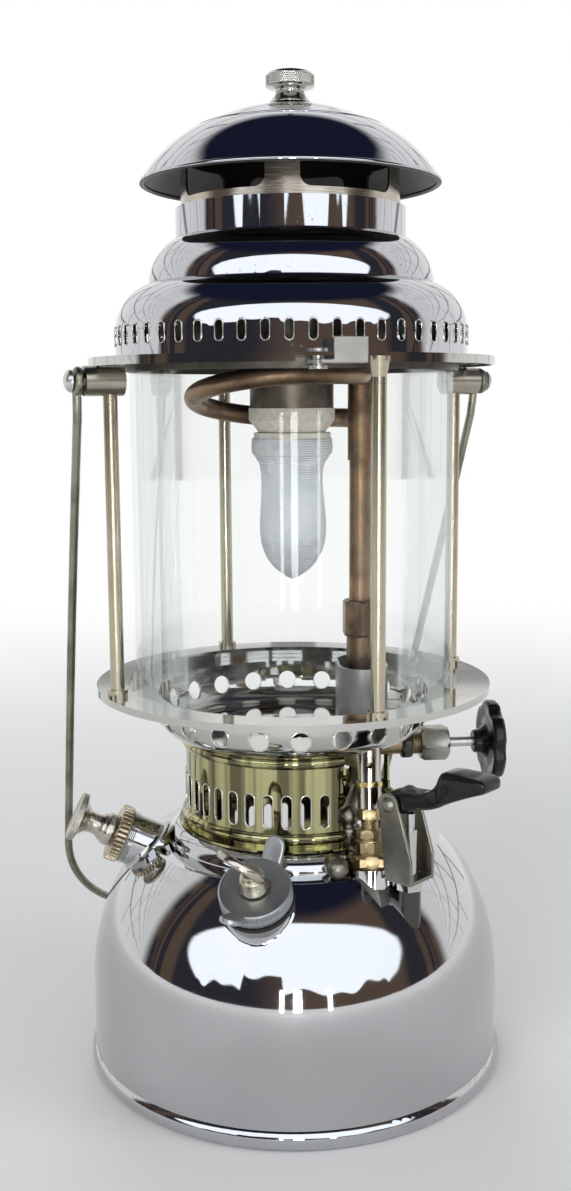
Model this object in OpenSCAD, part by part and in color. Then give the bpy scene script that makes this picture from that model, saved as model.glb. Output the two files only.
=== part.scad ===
// Pressurised paraffin mantle lantern with a quick preheater, in millimetres.
// Origin: centre of the base on the ground. +Z is up, the carrying bail hinges about X.

/* [Tank] */
// Radius of the straight tank wall
tank_r = 85.8; // [80:0.2:100]
// Height where the wall turns into the dome
shoulder_z = 38; // [34:1:44]
// Radius of the dome's arc
dome_arc = 80.3; // [78:0.1:84]
// Height of the ledge where the dome ends
ledge_z = 95.4; // [94:0.1:96.2]
// Height of the crown's flat top
crown_z = 102.8; // [101:0.2:105]
// Radius of the crown's flat top, where its rounded edge starts
crown_top_r = 46.5; // [44:0.5:48]
// Sheet thickness of the tank
tank_wall = 1.2; // [0.8:0.1:2]
// Radius of the rolled bead at the foot
bead_r = 5; // [4:0.1:5.5]
// How far the rolled bead stands out from the tank wall
foot_out = 1.7; // [1:0.1:3]
// How far the bead's round is cut flat to stand on
foot_flat = 0.4; // [0.2:0.1:0.8]
// Height of the tank floor above the ground
floor_z = 6; // [4:0.5:8]

/* [Lower casing] */
// Outer radius of the slotted casing
casing_r = 45.4; // [44:0.2:47]
// Sheet thickness of the casing and bowl
sheet = 0.9; // [0.7:0.1:1.4]
// Radius of the casing's foot flange
casing_foot_r = 48.6; // [47.4:0.2:50]
// Height of the stepped foot
casing_foot_h = 4.6; // [3:0.2:6]
// Radius of the two pressed beads
casing_bead_r = 1.2; // [0.8:0.1:1.6]
// Number of air slots round the full casing
slot_count = 38; // [30:1:40]
// Width of one air slot
slot_w = 4; // [3:0.1:4.6]
// Height of the lower slot end
slot_z0 = 111.7; // [110:0.1:114]
// Height of the upper slot end
slot_z1 = 125.1; // [122:0.1:127]
// Turn of the slot pattern
slot_phase = -117.5; // [-125:0.5:-110]
// Start of the cut-away for the preheater
gap_from = -89; // [-92:1:-85]
// End of the cut-away for the preheater
gap_to = -2; // [-6:1:4]

/* [Bowl and collar] */
// Height of the bowl floor's underside
bowl_z = 140.3; // [139:0.1:142]
// Radius of the bowl's rounded wall
bowl_arc = 11.7; // [11:0.1:12.5]
// Number of round air holes
hole_count = 22; // [18:1:24]
// Radius of one air hole
hole_r = 4; // [3:0.1:4.4]
// Height of the air holes
hole_z = 149.6; // [149:0.1:150.5]
// Turn of the air hole pattern
hole_phase = -111.2; // [-120:0.1:-104]
// Radius of the hole in the bowl floor
bowl_eye_r = 18; // [16:0.5:20]
// Outer radius of the collar and of the top ring
collar_r = 81.5; // [80:0.5:84]
// Height of the collar's top face
collar_z = 162.5; // [162:0.1:164]
// Depth of the turned-down lip
lip_h = 2.8; // [2:0.1:4]
// Plate thickness of the collar and of the top ring
plate = 1.3; // [1:0.1:1.8]
// Depth of the globe's seat below the collar
seat_drop = 4.2; // [3.5:0.1:4.6]
// Gap between the globe and the collar's upper step
seat_gap = 4.7; // [3.2:0.1:6]

/* [Globe] */
// Outer radius of the glass globe
globe_r = 65.3; // [64:0.1:66]
// Glass thickness
glass = 2.4; // [1.8:0.1:3]
// Clearance above the globe
globe_gap = 0.4; // [0.2:0.1:0.8]

/* [Rods and top ring] */
// Radius of the circle that the four rods stand on
rod_circle = 76; // [75.5:0.1:76.5]
// Radius of one rod
rod_r = 2.75; // [2.4:0.05:3]
// Radius of the nut at each rod's foot
ferrule_r = 4; // [3.6:0.1:4.4]
// Height of the nut at each rod's foot
ferrule_h = 2.4; // [2:0.1:3.5]
// Height of the top ring's upper face
ring_z = 294.2; // [292:0.2:297]
// Inner radius of the top ring
ring_inner_r = 58.6; // [57:0.2:61]
// Height of the flange that keeps the globe centred
keeper_h = 4; // [3:0.2:6]
// Gap between that flange and the globe
keeper_gap = 0.8; // [0.5:0.1:1.2]
// Half width of the notch in the lip, in degrees
notch_half = 12; // [9:1:14]
// Position of the hood catch round the ring, in degrees
catch_az = -107; // [-110:1:-104]
// Reach of the hood catch from its rivet along the ring
catch_reach = 16.4; // [14:0.2:17]
// Width of the hood catch's thumb tab
catch_tab_w = 12; // [9:0.5:13]
// Height of the thumb tab
catch_tab_h = 9; // [7:0.5:11]

/* [Bail] */
// Radius of the bail wire
wire_r = 2; // [1.6:0.1:2.4]
// Radius of the side lugs
lug_r = 5.7; // [5.4:0.1:5.8]
// Inner end of the side lugs
lug_x0 = 71; // [70:0.5:72]
// Outer end of the side lugs
lug_x1 = 86.4; // [85:0.2:87]
// Length of the bail from its pivot to the bottom
bail_len = 262; // [258:1:275]
// How much each arm leans in, in degrees
bail_taper = 2.4; // [1.5:0.1:3.2]
// Swelling of the wire where each bend starts, as a share of its radius
bend_swell = 1.04; // [1.02:0.01:1.1]
// Bend radius of the bail's corners
bail_bend = 46; // [38:1:52]
// Radius of the bail's eye
eye_r = 4.8; // [4.4:0.1:5.4]
// Thickness of the bail's flattened eye
eye_t = 3; // [2.4:0.1:3.2]
// Radius of the rivet shank
rivet_r = 2; // [1.6:0.1:2.4]
// Radius of the rivet head
rivet_head_r = 4.4; // [3.8:0.1:5]
// Height of the rivet head
rivet_head_h = 3; // [2:0.1:3.6]
// Gap between the resting bail and the tank
bail_gap = 0.5; // [0.4:0.1:1]

/* [Hood] */
// Outer radius of the cover's slotted skirt
skirt_r = 70.5; // [69.5:0.1:71]
// Height where the skirt turns into the lower bulge
skirt_z = 304; // [304:0.2:308]
// Arc radius of the lower bulge
bulge2_arc = 20; // [19:0.2:21]
// Height of the step between the bulges
step_z = 322; // [321:0.2:323]
// Radius of the step between the bulges
step_r = 57; // [56.4:0.1:57.8]
// Arc radius of the upper bulge
bulge1_arc = 21; // [20.4:0.2:21.6]
// Outer radius of the collar band
band_r = 45.8; // [45.4:0.1:46.4]
// Height of the collar band's upper edge
band_z = 352; // [350:0.2:353]
// Number of slots in the skirt
vent_count = 52; // [44:1:54]
// Width of one skirt slot
vent_w = 3; // [2.4:0.1:3.4]
// Lower end of a skirt slot above the ring
vent_up = 4.2; // [3.4:0.1:4.6]
// Height of one skirt slot
vent_h = 7.6; // [5:0.2:8]
// Turn of the skirt slot pattern
vent_phase = -114.6; // [-118:0.1:-111]
// Outer radius of the windowed chimney
chimney_r = 43.5; // [43:0.1:44]
// Lower end of the chimney
chimney_z0 = 330; // [326:1:336]
// Number of windows, and of legs between them
window_count = 5; // [4:1:6]
// Width of one chimney leg
leg_w = 13; // [10:0.5:15]
// Lower edge of the windows
window_z0 = 355; // [354:0.5:358]
// Upper edge of the windows
window_z1 = 371; // [368:0.5:372]
// Corner radius of the windows
window_round = 4; // [2:0.5:5]
// Position of the first leg in degrees
leg_az = -118; // [-125:1:-110]
// Height of the cap's rim
rim_z = 361.5; // [360.5:0.1:362.5]
// Arc radius of the cap's outer roll
roll_arc = 53.4; // [53:0.1:54]
// Distance of the outer roll's centre from the axis
roll_cx = 13.45; // [13:0.05:14]
// Height of the outer roll's centre
roll_cz = 334.6; // [334:0.1:335]
// Arc radius of the cap's middle dome
crest_arc = 75; // [70:0.5:80]
// Radius of the ridge between roll and dome
ridge_r = 35.2; // [33:0.2:37]
// Height of the cap's middle
crest_z = 391.9; // [391.4:0.1:392.5]
// Sheet thickness of hood parts
hood_sheet = 1; // [0.8:0.1:1.4]
// Gap between the hood and the ring that it stands on
hood_gap = 0.3; // [0.25:0.05:0.5]

/* [Top knob] */
// Radius of the knurled disc
knob_r = 9.6; // [8.5:0.1:11]
// Height of the knurled disc
knob_h = 6; // [4:0.5:8]
// Radius of the waist under the disc
knob_waist_r = 5.7; // [5:0.1:6.5]
// Height of the waist
knob_waist_h = 5; // [4:0.5:7]
// Radius of the foot flange
knob_foot_r = 8.3; // [7.5:0.1:9]
// Height of the foot flange
knob_foot_h = 1.2; // [1:0.1:2]
// Number of knurl grooves
knurl_count = 36; // [24:2:48]
// Radius of the long stud below the knob
stud_r = 2.4; // [2:0.1:3]
// Lower end of the stud
stud_z0 = 347; // [346:0.5:349]

/* [Burner unit] */
// Outer radius of the inner casing
inner_r = 40; // [38:0.5:41]
// Upper end of the inner casing
inner_z1 = 344; // [340:1:346]
// Width of the feet and struts
strut_w = 8; // [6:0.5:10]
// Length of the feet beyond the inner casing
foot_len = 27; // [24:1:28]
// Outer radius of the mixing chamber
chamber_r = 17; // [15:0.5:18]
// Lower end of the mixing chamber
chamber_z0 = 274.4; // [272:0.2:276]
// Upper end of the mixing chamber
chamber_z1 = 312; // [308:1:314]
// Outer radius of the mixing tube
mixing_r = 6.4; // [5:0.2:7]
// Wall of the mixing tube and chamber
mixing_wall = 1; // [0.8:0.1:1.6]
// Lower end of the mixing tube's mouth
mouth_z = 298; // [297:0.5:301]
// Radius of the mixing tube's mouth
mouth_r = 8.6; // [8:0.2:9]
// Radius of the ceramic nozzle's flange
nozzle_flange_r = 17.5; // [16:0.5:18.5]
// Height of the nozzle's flange
nozzle_flange_h = 4.8; // [4:0.2:6]
// Height of the nozzle's cone
nozzle_cone_h = 4.8; // [4:0.2:6]
// Radius of the nozzle's spout
nozzle_r = 12.6; // [11:0.2:13]
// Lower end of the nozzle's spout
nozzle_z0 = 252; // [250:0.5:253]
// Radius of the gas bore
bore_r = 9; // [7:0.5:10]
// Outer radius of the mantle's ceramic ring
mantle_ring_r = 16.5; // [15.5:0.1:17]
// Height of the mantle's ceramic ring
mantle_ring_h = 9; // [7:0.5:9.4]
// Number of lugs on the mantle's ring
mantle_lugs = 3; // [2:1:4]
// Largest radius of the mantle
mantle_r = 15.5; // [14.5:0.1:16.5]
// Height of the mantle's widest place
mantle_mid_z = 231; // [229:0.5:233]
// Arc radius of the mantle's side
mantle_arc = 139; // [120:1:160]
// Radius of the mantle's rounded end
mantle_end_r = 14.4; // [13.6:0.1:14.8]
// Thickness of the mantle's cloth
mantle_wall = 0.8; // [0.6:0.1:1.2]

/* [Generator] */
// Distance of the generator from the lantern's axis
gen_x = 28.2; // [27:0.2:29]
// Direction of the generator, in degrees
gen_az = -18; // [-22:1:-14]
// Radius of the generator tube
gen_r = 4.5; // [4.2:0.1:5]
// Radius of the bore for the cleaning needle
gen_bore_r = 2; // [1.6:0.1:2.4]
// Lower end of the visible generator tube
gen_z0 = 140.3; // [140:0.1:142]
// Upper end of the generator tube
gen_z1 = 262; // [258:1:266]
// Width across the flats of the generator nut
gen_nut_af = 13.5; // [12:0.5:15]
// Lower face of the generator nut
gen_nut_z = 180; // [178:0.5:184]
// Height of the generator nut
gen_nut_h = 15; // [12:0.5:17]
// Radius of the collar under the generator nut
gen_collar_r = 5.6; // [5.2:0.1:6.4]
// Height of the collar under the generator nut
gen_collar_h = 12; // [8:0.5:14]
// Radius of the sleeve that carries the jet
jet_sleeve_r = 5.2; // [5:0.1:5.8]
// Upper end of that sleeve
jet_sleeve_z1 = 292; // [290:0.5:293]
// Height of the jet above the sleeve
jet_h = 3.6; // [3:0.1:4]
// Radius of the jet
jet_r = 2.8; // [2.4:0.1:3.6]
// Radius of the fuel loop's tube
loop_r = 4; // [3.4:0.1:4.2]
// Bend radius of the fuel loop
loop_bend = 33.9; // [32:0.1:35]
// Height of the loop's upper end
loop_z1 = 287.6; // [286:0.2:288]
// Height of the loop's lower end
loop_z0 = 270; // [268:0.5:272]
// Radius of the cleaning needle
needle_r = 0.9; // [0.6:0.1:1.2]
// Radius of the flame sleeve's two rounds
flame_r = 10.2; // [9.6:0.1:10.8]
// Distance between the flame sleeve's rounds
flame_len = 14; // [10:1:16]
// Upper end of the flame sleeve
flame_z1 = 170; // [164:1:174]

/* [Fuel control] */
// Height of the control spindle
ctl_z = 132.6; // [132:0.1:133.4]
// Radius of the control body
ctl_body_r = 7.6; // [7:0.1:8]
// Radius of the neck that carries the packing nut
ctl_neck_r = 4.4; // [4:0.1:5]
// Radial end of that neck
ctl_neck_x = 55; // [54:0.5:57]
// Width across the flats of the lock nut
lock_af = 12; // [11:0.5:13]
// Inner face of the lock nut
lock_x = 46; // [45:0.5:47]
// Thickness of the lock nut
lock_h = 4.4; // [3:0.2:5]
// Width across the flats of the packing nut
pack_af = 13.4; // [12:0.2:14]
// Inner face of the packing nut
pack_x = 54; // [53:0.5:55]
// Length of the packing nut
pack_len = 12; // [10:0.5:13]
// Chamfer of the packing nut
pack_chamfer = 0.8; // [0.5:0.1:1]
// Radius of the spindle
spindle_r = 2.1; // [1.8:0.1:2.6]
// Running clearance of turning shafts
fit = 0.06; // [0.04:0.01:0.09]
// Inner face of the hand wheel
wheel_x = 77; // [76:0.5:79]
// Outer radius of the hand wheel
wheel_r = 17.5; // [15:0.5:18.5]
// Rim width of the hand wheel
wheel_rim = 5.4; // [4:0.2:7]
// Depth of the hand wheel's hub cone
wheel_cone = 5.6; // [4:0.2:7]
// Number of finger scallops
scallops = 6; // [5:1:8]
// Distance of the riser's foot from the lantern's axis
riser_out = 41; // [40:0.2:41.4]
// Turn of the riser's foot from the start of the casing's cut-away, in degrees
riser_turn = 7; // [7:0.5:9]
// Width across the flats of the union nut at the riser's foot
riser_nut_af = 10; // [9:0.2:10.2]
// Height of the union nut
riser_nut_h = 7; // [6:0.2:7.6]
// Height of the narrow upper tier of the union nut
riser_tier_h = 2.6; // [2:0.2:3.2]
// Radius of the riser
riser_r = 3.4; // [3:0.1:3.8]
// Radius of the riser's elbows
elbow_r = 4.4; // [4:0.1:4.8]
// Rise of the riser's first elbow above the crown
elbow_up = 11; // [10:0.2:12]
// Distance of the ball elbow on the ledge from the lantern's axis
ball_out = 57.4; // [56.6:0.2:58]
// Direction of the ball elbow, in degrees
ball_az = -97.2; // [-100:0.2:-96]
// Lower end of the pickup tube
pickup_z0 = 12; // [10:0.5:16]
// Radius of the pickup tube
pickup_r = 3.4; // [3:0.1:4]

/* [Preheater] */
// Preheater base, along X
pre_x = 8.5; // [8:0.1:9]
// Preheater base, along Y
pre_y = -54.1; // [-55:0.1:-53.6]
// Height of the pad under the preheater above the ledge
pre_pad = 1.2; // [0.8:0.1:2]
// How far the preheater leans in, in degrees
pre_lean = 10; // [8:0.5:12]
// Depth of the solid boss under the preheater
pre_boss = 7; // [6:0.5:9]
// Direction of that lean, in degrees
pre_lean_az = 68; // [62:1:74]
// Width across the flats of the base hex
pre_base_af = 16.6; // [15:0.2:17.2]
// Height of the base hex
pre_base_h = 5.6; // [4.6:0.2:6.4]
// Radius of the block above the base hex
pre_block_r = 4.8; // [4.4:0.1:5.4]
// Height of the block
pre_block_h = 5.2; // [4.4:0.2:6]
// Width across the flats of the middle nut
pre_nut_af = 9; // [8.4:0.2:10]
// Height of the middle nut
pre_nut_h = 4; // [3.4:0.2:5]
// Radius of the narrow neck
pre_neck_r = 3.4; // [3:0.1:3.8]
// Height of the narrow neck
pre_neck_h = 3.6; // [3:0.2:4.4]
// Height of the top nut
pre_top_h = 4.6; // [4:0.2:5.4]
// Radius of the torch tube
torch_r = 4.7; // [4.4:0.1:5]
// Wall of the torch tube
torch_wall = 0.9; // [0.7:0.1:1.2]
// Length of the torch tube
torch_len = 24; // [20:0.5:26]
// Radius of the torch tube's air holes
torch_hole_r = 1.2; // [0.9:0.1:1.6]
// Height of the torch tube's air holes
torch_hole_z = 17; // [14:0.5:19]
// Preheater valve, along X
valve_x = 17.7; // [17.4:0.1:18]
// Preheater valve, along Y
valve_y = -69.2; // [-69.6:0.1:-68.8]
// Height of the valve bracket's floor above the ledge
bracket_up = 0.1; // [0:0.1:1]
// Width across the flats of the nut under the bracket
valve_nut_af = 9; // [8:0.2:10]
// Height of the nut under the bracket
valve_nut_h = 4; // [3:0.2:5]
// Direction in which the lever points, in degrees
lever_az = -66; // [-70:1:-62]
// Inner width of the bracket
bracket_w = 12.6; // [12:0.1:13.4]
// Plate thickness of the bracket
bracket_t = 1.2; // [1:0.1:1.5]
// Depth of the bracket's ears
ear_w = 12; // [10:0.5:12.6]
// Height of the pin above the bracket's floor
pin_h = 30; // [28:0.5:32]
// Distance of the pin inward of the valve
pin_in = 5; // [4.4:0.1:5.6]
// Radius of the pin
pin_r = 1.5; // [1.2:0.1:2]
// Radius of the boss under the valve
valve_boss_r = 4.4; // [3.8:0.1:4.8]
// Radius of the valve's barrel
valve_r = 2.9; // [2.6:0.1:3.4]
// Height of the valve's barrel
valve_h = 20; // [18:0.5:21]
// Radius of the plunger
plunger_r = 1.9; // [1.5:0.1:2.2]
// Height of the plunger above the barrel
plunger_h = 6.2; // [5.6:0.1:6.6]
// Radius of the lever's cam
cam_r = 2.9; // [2.6:0.1:3]
// Width of the lever's arm
arm_w = 11; // [9:0.2:12]
// Length from the pin to the lever's tip
lever_len = 42; // [38:1:46]
// Height of the lever's grip above the pin
grip_up = 17; // [14:0.5:20]
// Depth of the lever's grip
grip_t = 9.6; // [8:0.2:11]
// Width of the lever's grip
grip_w = 13; // [11:0.5:16]

/* [Filler] */
// Distance of the filler inward from the tank wall
filler_in = 18.3; // [17.8:0.1:18.8]
// Direction of the filler, in degrees
filler_az = -125.7; // [-130:0.1:-120]
// Rise of the filler's axis above level, in degrees
filler_tilt = 57; // [54:1:60]
// Radius of the filler's neck on the tank
filler_neck_r = 12.4; // [11.6:0.1:13]
// Length of the filler's neck above the dome
filler_neck_h = 2.4; // [2:0.1:3]
// Outer radius of the filler cap
cap_r = 14; // [13.4:0.1:15]
// Height of the filler cap
cap_h = 7; // [6:0.2:8]
// Radius of the gasket
gasket_r = 14.4; // [14:0.1:15]
// Thickness of the gasket
gasket_h = 2; // [1.4:0.1:2.6]
// Radius of the threaded plug under the cap
plug_r = 8; // [7:0.2:8.6]
// Length of the threaded plug
plug_h = 9; // [7:0.5:11]
// Width of the cap's wings
wing_w = 8; // [6:0.5:9]
// Height of the cap's wings
wing_h = 9; // [7:0.5:11]
// Thickness of the cap's wings
wing_t = 2.2; // [1.8:0.1:3]
// Turn of the wings
wing_turn = -17; // [-30:1:0]
// Lower radius of the vent screw's stem
stem_r0 = 5.6; // [5:0.1:6]
// Upper radius of the vent screw's stem
stem_r1 = 4.2; // [3.6:0.1:4.8]
// Height of the vent screw's stem
stem_h = 8; // [7:0.5:9]
// Outer radius of the vent screw's finger ring
ring_r = 10; // [9:0.2:11]
// Inner radius of the finger ring
ring_hole_r = 6; // [5.4:0.2:7]
// Thickness of the finger ring
ring_t = 3.2; // [2.6:0.1:4]
// Turn of the finger ring about the stem
ring_turn = -121.4; // [-140:0.2:-100]
// Lean of the finger ring from the stem's axis
ring_lean = 26; // [15:1:30]

/* [Pump] */
// Distance of the pump inward from the tank wall
pump_in = 21.2; // [20.6:0.1:21.8]
// Height of the pump's axis above the dome there
pump_up = 1.6; // [1:0.1:2.6]
// Direction of the pump, in degrees
pump_az = 163; // [160:1:166]
// Rise of the pump's axis above level, in degrees
pump_tilt = 25; // [23:0.5:27]
// Outer radius of the pump's boss
boss_r = 11; // [10.4:0.1:11.6]
// Outer end of the pump's boss
boss_len = 7.4; // [6.4:0.2:8]
// Outer radius of the pump barrel
barrel_r = 8.6; // [8:0.1:9.2]
// Wall of the pump barrel
barrel_wall = 1; // [0.8:0.1:1.4]
// Length of the pump barrel inside the tank
barrel_len = 82; // [76:1:84]
// Outer radius of the pump's cap
pump_cap_r = 12; // [11.4:0.1:12.6]
// Thickness of the pump's cap
pump_cap_h = 5.4; // [4.6:0.2:6]
// Radius of the pump rod
pump_rod_r = 2.4; // [2:0.1:3]
// Radius of the pump knob's disc
pump_knob_r = 10.2; // [9.4:0.1:11]
// Thickness of the pump knob's disc
pump_disc_h = 3; // [2.4:0.1:4]
// Radius of the pump knob's foot
pump_foot_r = 6.9; // [6:0.1:7.4]
// Length of the pump knob's foot
pump_foot_h = 4.6; // [4:0.2:6]
// Radius of the pump knob's waist
pump_waist_r = 4.4; // [3.8:0.1:5]
// Length of the pump knob
pump_knob_len = 17.4; // [15:0.2:20]
// Thickness of the leather cup
leather_h = 6; // [4:0.5:8]

/* [Hidden] */
$fn = 64;
over = 1;
dome_cx = tank_r - dome_arc;
bead_z = bead_r - foot_flat;
bead_x = tank_r + foot_out - bead_r;
neck_round = crown_z - ledge_z;
casing_z0 = crown_z;
slot_step = 360 / slot_count;
bowl_cx = casing_r;
bowl_cz = bowl_z + bowl_arc;
bowl_r = bowl_cx + bowl_arc;
hole_step = 360 / hole_count;
seat_z = collar_z - seat_drop;
seat_r = globe_r + seat_gap;
globe_z0 = seat_z;
ring_under = ring_z - plate;
ring_lip_z = ring_z - lip_h - over / 2;
globe_z1 = ring_under - globe_gap;
keeper_r = globe_r + keeper_gap;
lug_z = ring_lip_z - lug_r;
eye_gap = 0.3;
eye_x = lug_x1 + eye_gap + wire_r;
head_x = eye_x + wire_r + eye_gap;
bail_lean = asin((tank_r + wire_r + bail_gap) / bail_len);
vent_step = 360 / vent_count;
bulge2_cx = skirt_r - bulge2_arc;
bulge1_cx = step_r - bulge1_arc;
hood_z = ring_z + hood_gap;
gen_pos = [gen_x * cos(gen_az), gen_x * sin(gen_az), 0];
filler_r = tank_r - filler_in;
filler_z = dome_z(filler_r);
pump_r = tank_r - pump_in;
pump_z = dome_z(pump_r) + pump_up;
pre_z = ledge_z + pre_pad;
pre_base_r = pre_base_af / 2 / cos(30);
bracket_z = ledge_z + bracket_up;
valve_boss_h = 4 * valve_boss_r;
riser_az = gap_from + riser_turn;
riser_pos = [riser_out * cos(riser_az), riser_out * sin(riser_az)];
run_x = gen_pos[0] - riser_pos[0];
run_y = gen_pos[1] - riser_pos[1];
elbow_z = crown_z + elbow_up;
ball_z = ledge_z + elbow_r - sheet / 2;
loop_cx = gen_x - loop_bend;
half_drop = (loop_z1 - loop_z0) / 2;
pre_nut_z = pre_base_h + pre_block_h;
pre_neck_z = pre_nut_z + pre_nut_h;
pre_top_z = pre_neck_z + pre_neck_h;
torch_z = pre_top_z + pre_top_h;
cap_z = filler_neck_h + gasket_h;
pump_cap_z = boss_len;
pump_foot_z = pump_cap_z + pump_cap_h + eye_gap;
knob_z = crest_z + eye_gap;
hex_fn = 6;
hex_turn = 30;
knurl_r = 0.36;
rivet_taper = 0.7;
waist_taper = 0.85;
scallop_share = 0.36;
scallop_out = 0.72;
hub_share = 0.34;

// Height of the dome's arc at a radius from the lantern's axis
function dome_z(r) = shoulder_z + sqrt(pow(dome_arc, 2) - pow(r - dome_cx, 2));

// Sets children on the generator's axis, with X pointing outward
module at_generator() {
  rotate([0, 0, gen_az]) translate([gen_x, 0, 0]) children();
}

// Sets children on the riser's foot
module at_riser() {
  rotate([0, 0, riser_az]) translate([riser_out, 0, 0]) children();
}

// Sets children on the control spindle, with Z pointing outward from the lantern's axis
module on_spindle() {
  rotate([0, 0, gen_az]) translate([0, 0, ctl_z]) rotate([0, 90, 0]) children();
}

// Sets children on the pump's axis, with Z pointing outward
module on_pump() {
  rotate([0, 0, pump_az]) translate([pump_r, 0, pump_z]) rotate([0, 90 - pump_tilt, 0]) children();
}

// Sets children on the filler's axis, with Z pointing outward
module on_filler() {
  rotate([0, 0, filler_az]) translate([filler_r, 0, filler_z]) rotate([0, 90 - filler_tilt, 0])
    children();
}

// Sets children on the preheater's leaning axis
module on_preheater() {
  translate([pre_x, pre_y, pre_z]) rotate([0, 0, pre_lean_az]) rotate([0, pre_lean, 0]) children();
}

// Sets children at the preheater's valve, with X pointing along the lever
module at_valve() {
  translate([valve_x, valve_y, bracket_z]) rotate([0, 0, lever_az]) children();
}

// Hexagonal bar from its width across the flats
module hex(af, h) {
  cylinder(d = af / cos(30), h = h, $fn = hex_fn);
}

// Hollow cylinder
module tube(r, wall, h) {
  difference() {
    cylinder(r = r, h = h);
    translate([0, 0, -over]) cylinder(r = r - wall, h = h + 2 * over);
  }
}

// Half section of the tank, drawn inset from its outer face
module tank_section(inset) {
  translate([0, floor_z + inset]) square([tank_r - inset, shoulder_z - floor_z - inset]);
  intersection() {
    translate([dome_cx, shoulder_z]) circle(r = dome_arc - inset);
    translate([0, shoulder_z]) square([tank_r, ledge_z - inset - shoulder_z]);
  }
  translate([0, floor_z + inset]) square([crown_top_r, crown_z - floor_z - 2 * inset]);
  translate([crown_top_r, ledge_z]) circle(r = neck_round - inset);
}

module tank() {
  color("silver")
    difference() {
      union() {
        difference() {
          union() {
            rotate_extrude() tank_section(0);
            on_pump() translate([0, 0, -boss_len]) cylinder(r = boss_r, h = 2 * boss_len);
            on_filler() translate([0, 0, -filler_neck_r])
              cylinder(r = filler_neck_r, h = filler_neck_r + filler_neck_h);
            at_valve() translate([0, 0, -valve_nut_h - valve_boss_h])
              cylinder(r = valve_boss_r, h = valve_boss_h);
          }
          rotate_extrude() tank_section(tank_wall);
        }
        rotate_extrude()
          intersection() {
            translate([bead_x, bead_z]) circle(r = bead_r);
            square([bead_x + bead_r + over, 2 * bead_r]);
          }
        on_preheater() translate([0, 0, -pre_boss]) cylinder(r = pre_base_r + sheet, h = pre_boss);
        intersection() {
          rotate_extrude() tank_section(0);
          on_preheater() cylinder(r = pre_base_r + sheet, h = 2 * pre_base_h);
        }
        rotate([0, 0, ball_az]) translate([ball_out, 0, ball_z]) union() {
          sphere(r = elbow_r);
          rotate([0, -90, 0]) cylinder(r = riser_r, h = ball_out - crown_top_r - neck_round / 2);
        }
      }
      on_preheater() cylinder(r = pre_base_r + fit, h = 3 * pre_base_h);
      on_pump() translate([0, 0, -2 * boss_r]) cylinder(r = barrel_r, h = 4 * boss_r);
      on_filler() translate([0, 0, -2 * cap_r]) cylinder(r = plug_r + fit, h = 3 * cap_r);
      at_riser() translate([0, 0, ledge_z - 2 * pre_boss]) cylinder(r = pickup_r, h = 4 * pre_boss);
    }
}

module pump_barrel() {
  color("goldenrod")
    on_pump() translate([0, 0, -barrel_len]) tube(barrel_r, barrel_wall, barrel_len + boss_len);
}

// Non-return valve screwed into the inner end of the pump barrel
module check_valve() {
  seat_h = barrel_r / 2;
  color("goldenrod")
    on_pump() translate([0, 0, -barrel_len - seat_h])
      difference() {
        union() {
          cylinder(r = barrel_r / 2, h = seat_h);
          translate([0, 0, seat_h]) cylinder(r = barrel_r - barrel_wall, h = seat_h);
        }
        translate([0, 0, -over]) cylinder(r = needle_r, h = 2 * seat_h + 2 * over);
      }
}

module pump_cap() {
  color("darkgoldenrod")
    on_pump() translate([0, 0, pump_cap_z])
      difference() {
        cylinder(r = pump_cap_r, h = pump_cap_h);
        translate([0, 0, -over]) cylinder(r = pump_rod_r + fit, h = pump_cap_h + 2 * over);
        for (i = [0 : knurl_count - 1])
          rotate([0, 0, i * 360 / knurl_count]) translate([pump_cap_r, 0, -over])
            cylinder(r = knurl_r, h = pump_cap_h + 2 * over, $fn = 4);
      }
}

module pickup_tube() {
  color("goldenrod")
    at_riser() translate([0, 0, pickup_z0]) tube(pickup_r, mixing_wall, crown_z - pickup_z0);
}

// Union nut with a round upper tier
module riser_nut() {
  color("darkgoldenrod")
    at_riser() translate([0, 0, crown_z]) rotate([0, 0, hex_turn - riser_az])
      difference() {
        union() {
          hex(riser_nut_af, riser_nut_h - riser_tier_h);
          cylinder(d = riser_nut_af - sheet, h = riser_nut_h);
        }
        translate([0, 0, -over]) cylinder(r = riser_r, h = riser_nut_h + 2 * over);
      }
}

// Path of the riser: up, across to the generator's axis and up, with a ball at each elbow
module riser_run(r, ball, extra) {
  at_riser() translate([0, 0, crown_z - extra]) cylinder(r = r, h = elbow_up + extra);
  at_generator() translate([0, 0, elbow_z]) cylinder(r = r, h = ctl_z - ctl_body_r - elbow_z + extra);
  translate([riser_pos[0], riser_pos[1], elbow_z]) union() {
    rotate([0, 0, atan2(run_y, run_x)]) rotate([0, 90, 0]) cylinder(r = r, h = norm([run_x, run_y]));
    sphere(r = ball);
  }
  at_generator() translate([0, 0, elbow_z]) sphere(r = ball);
}

module riser() {
  color("goldenrod")
    difference() {
      riser_run(riser_r, elbow_r, 0);
      riser_run(gen_bore_r, gen_bore_r + eye_gap, over);
    }
}

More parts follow.
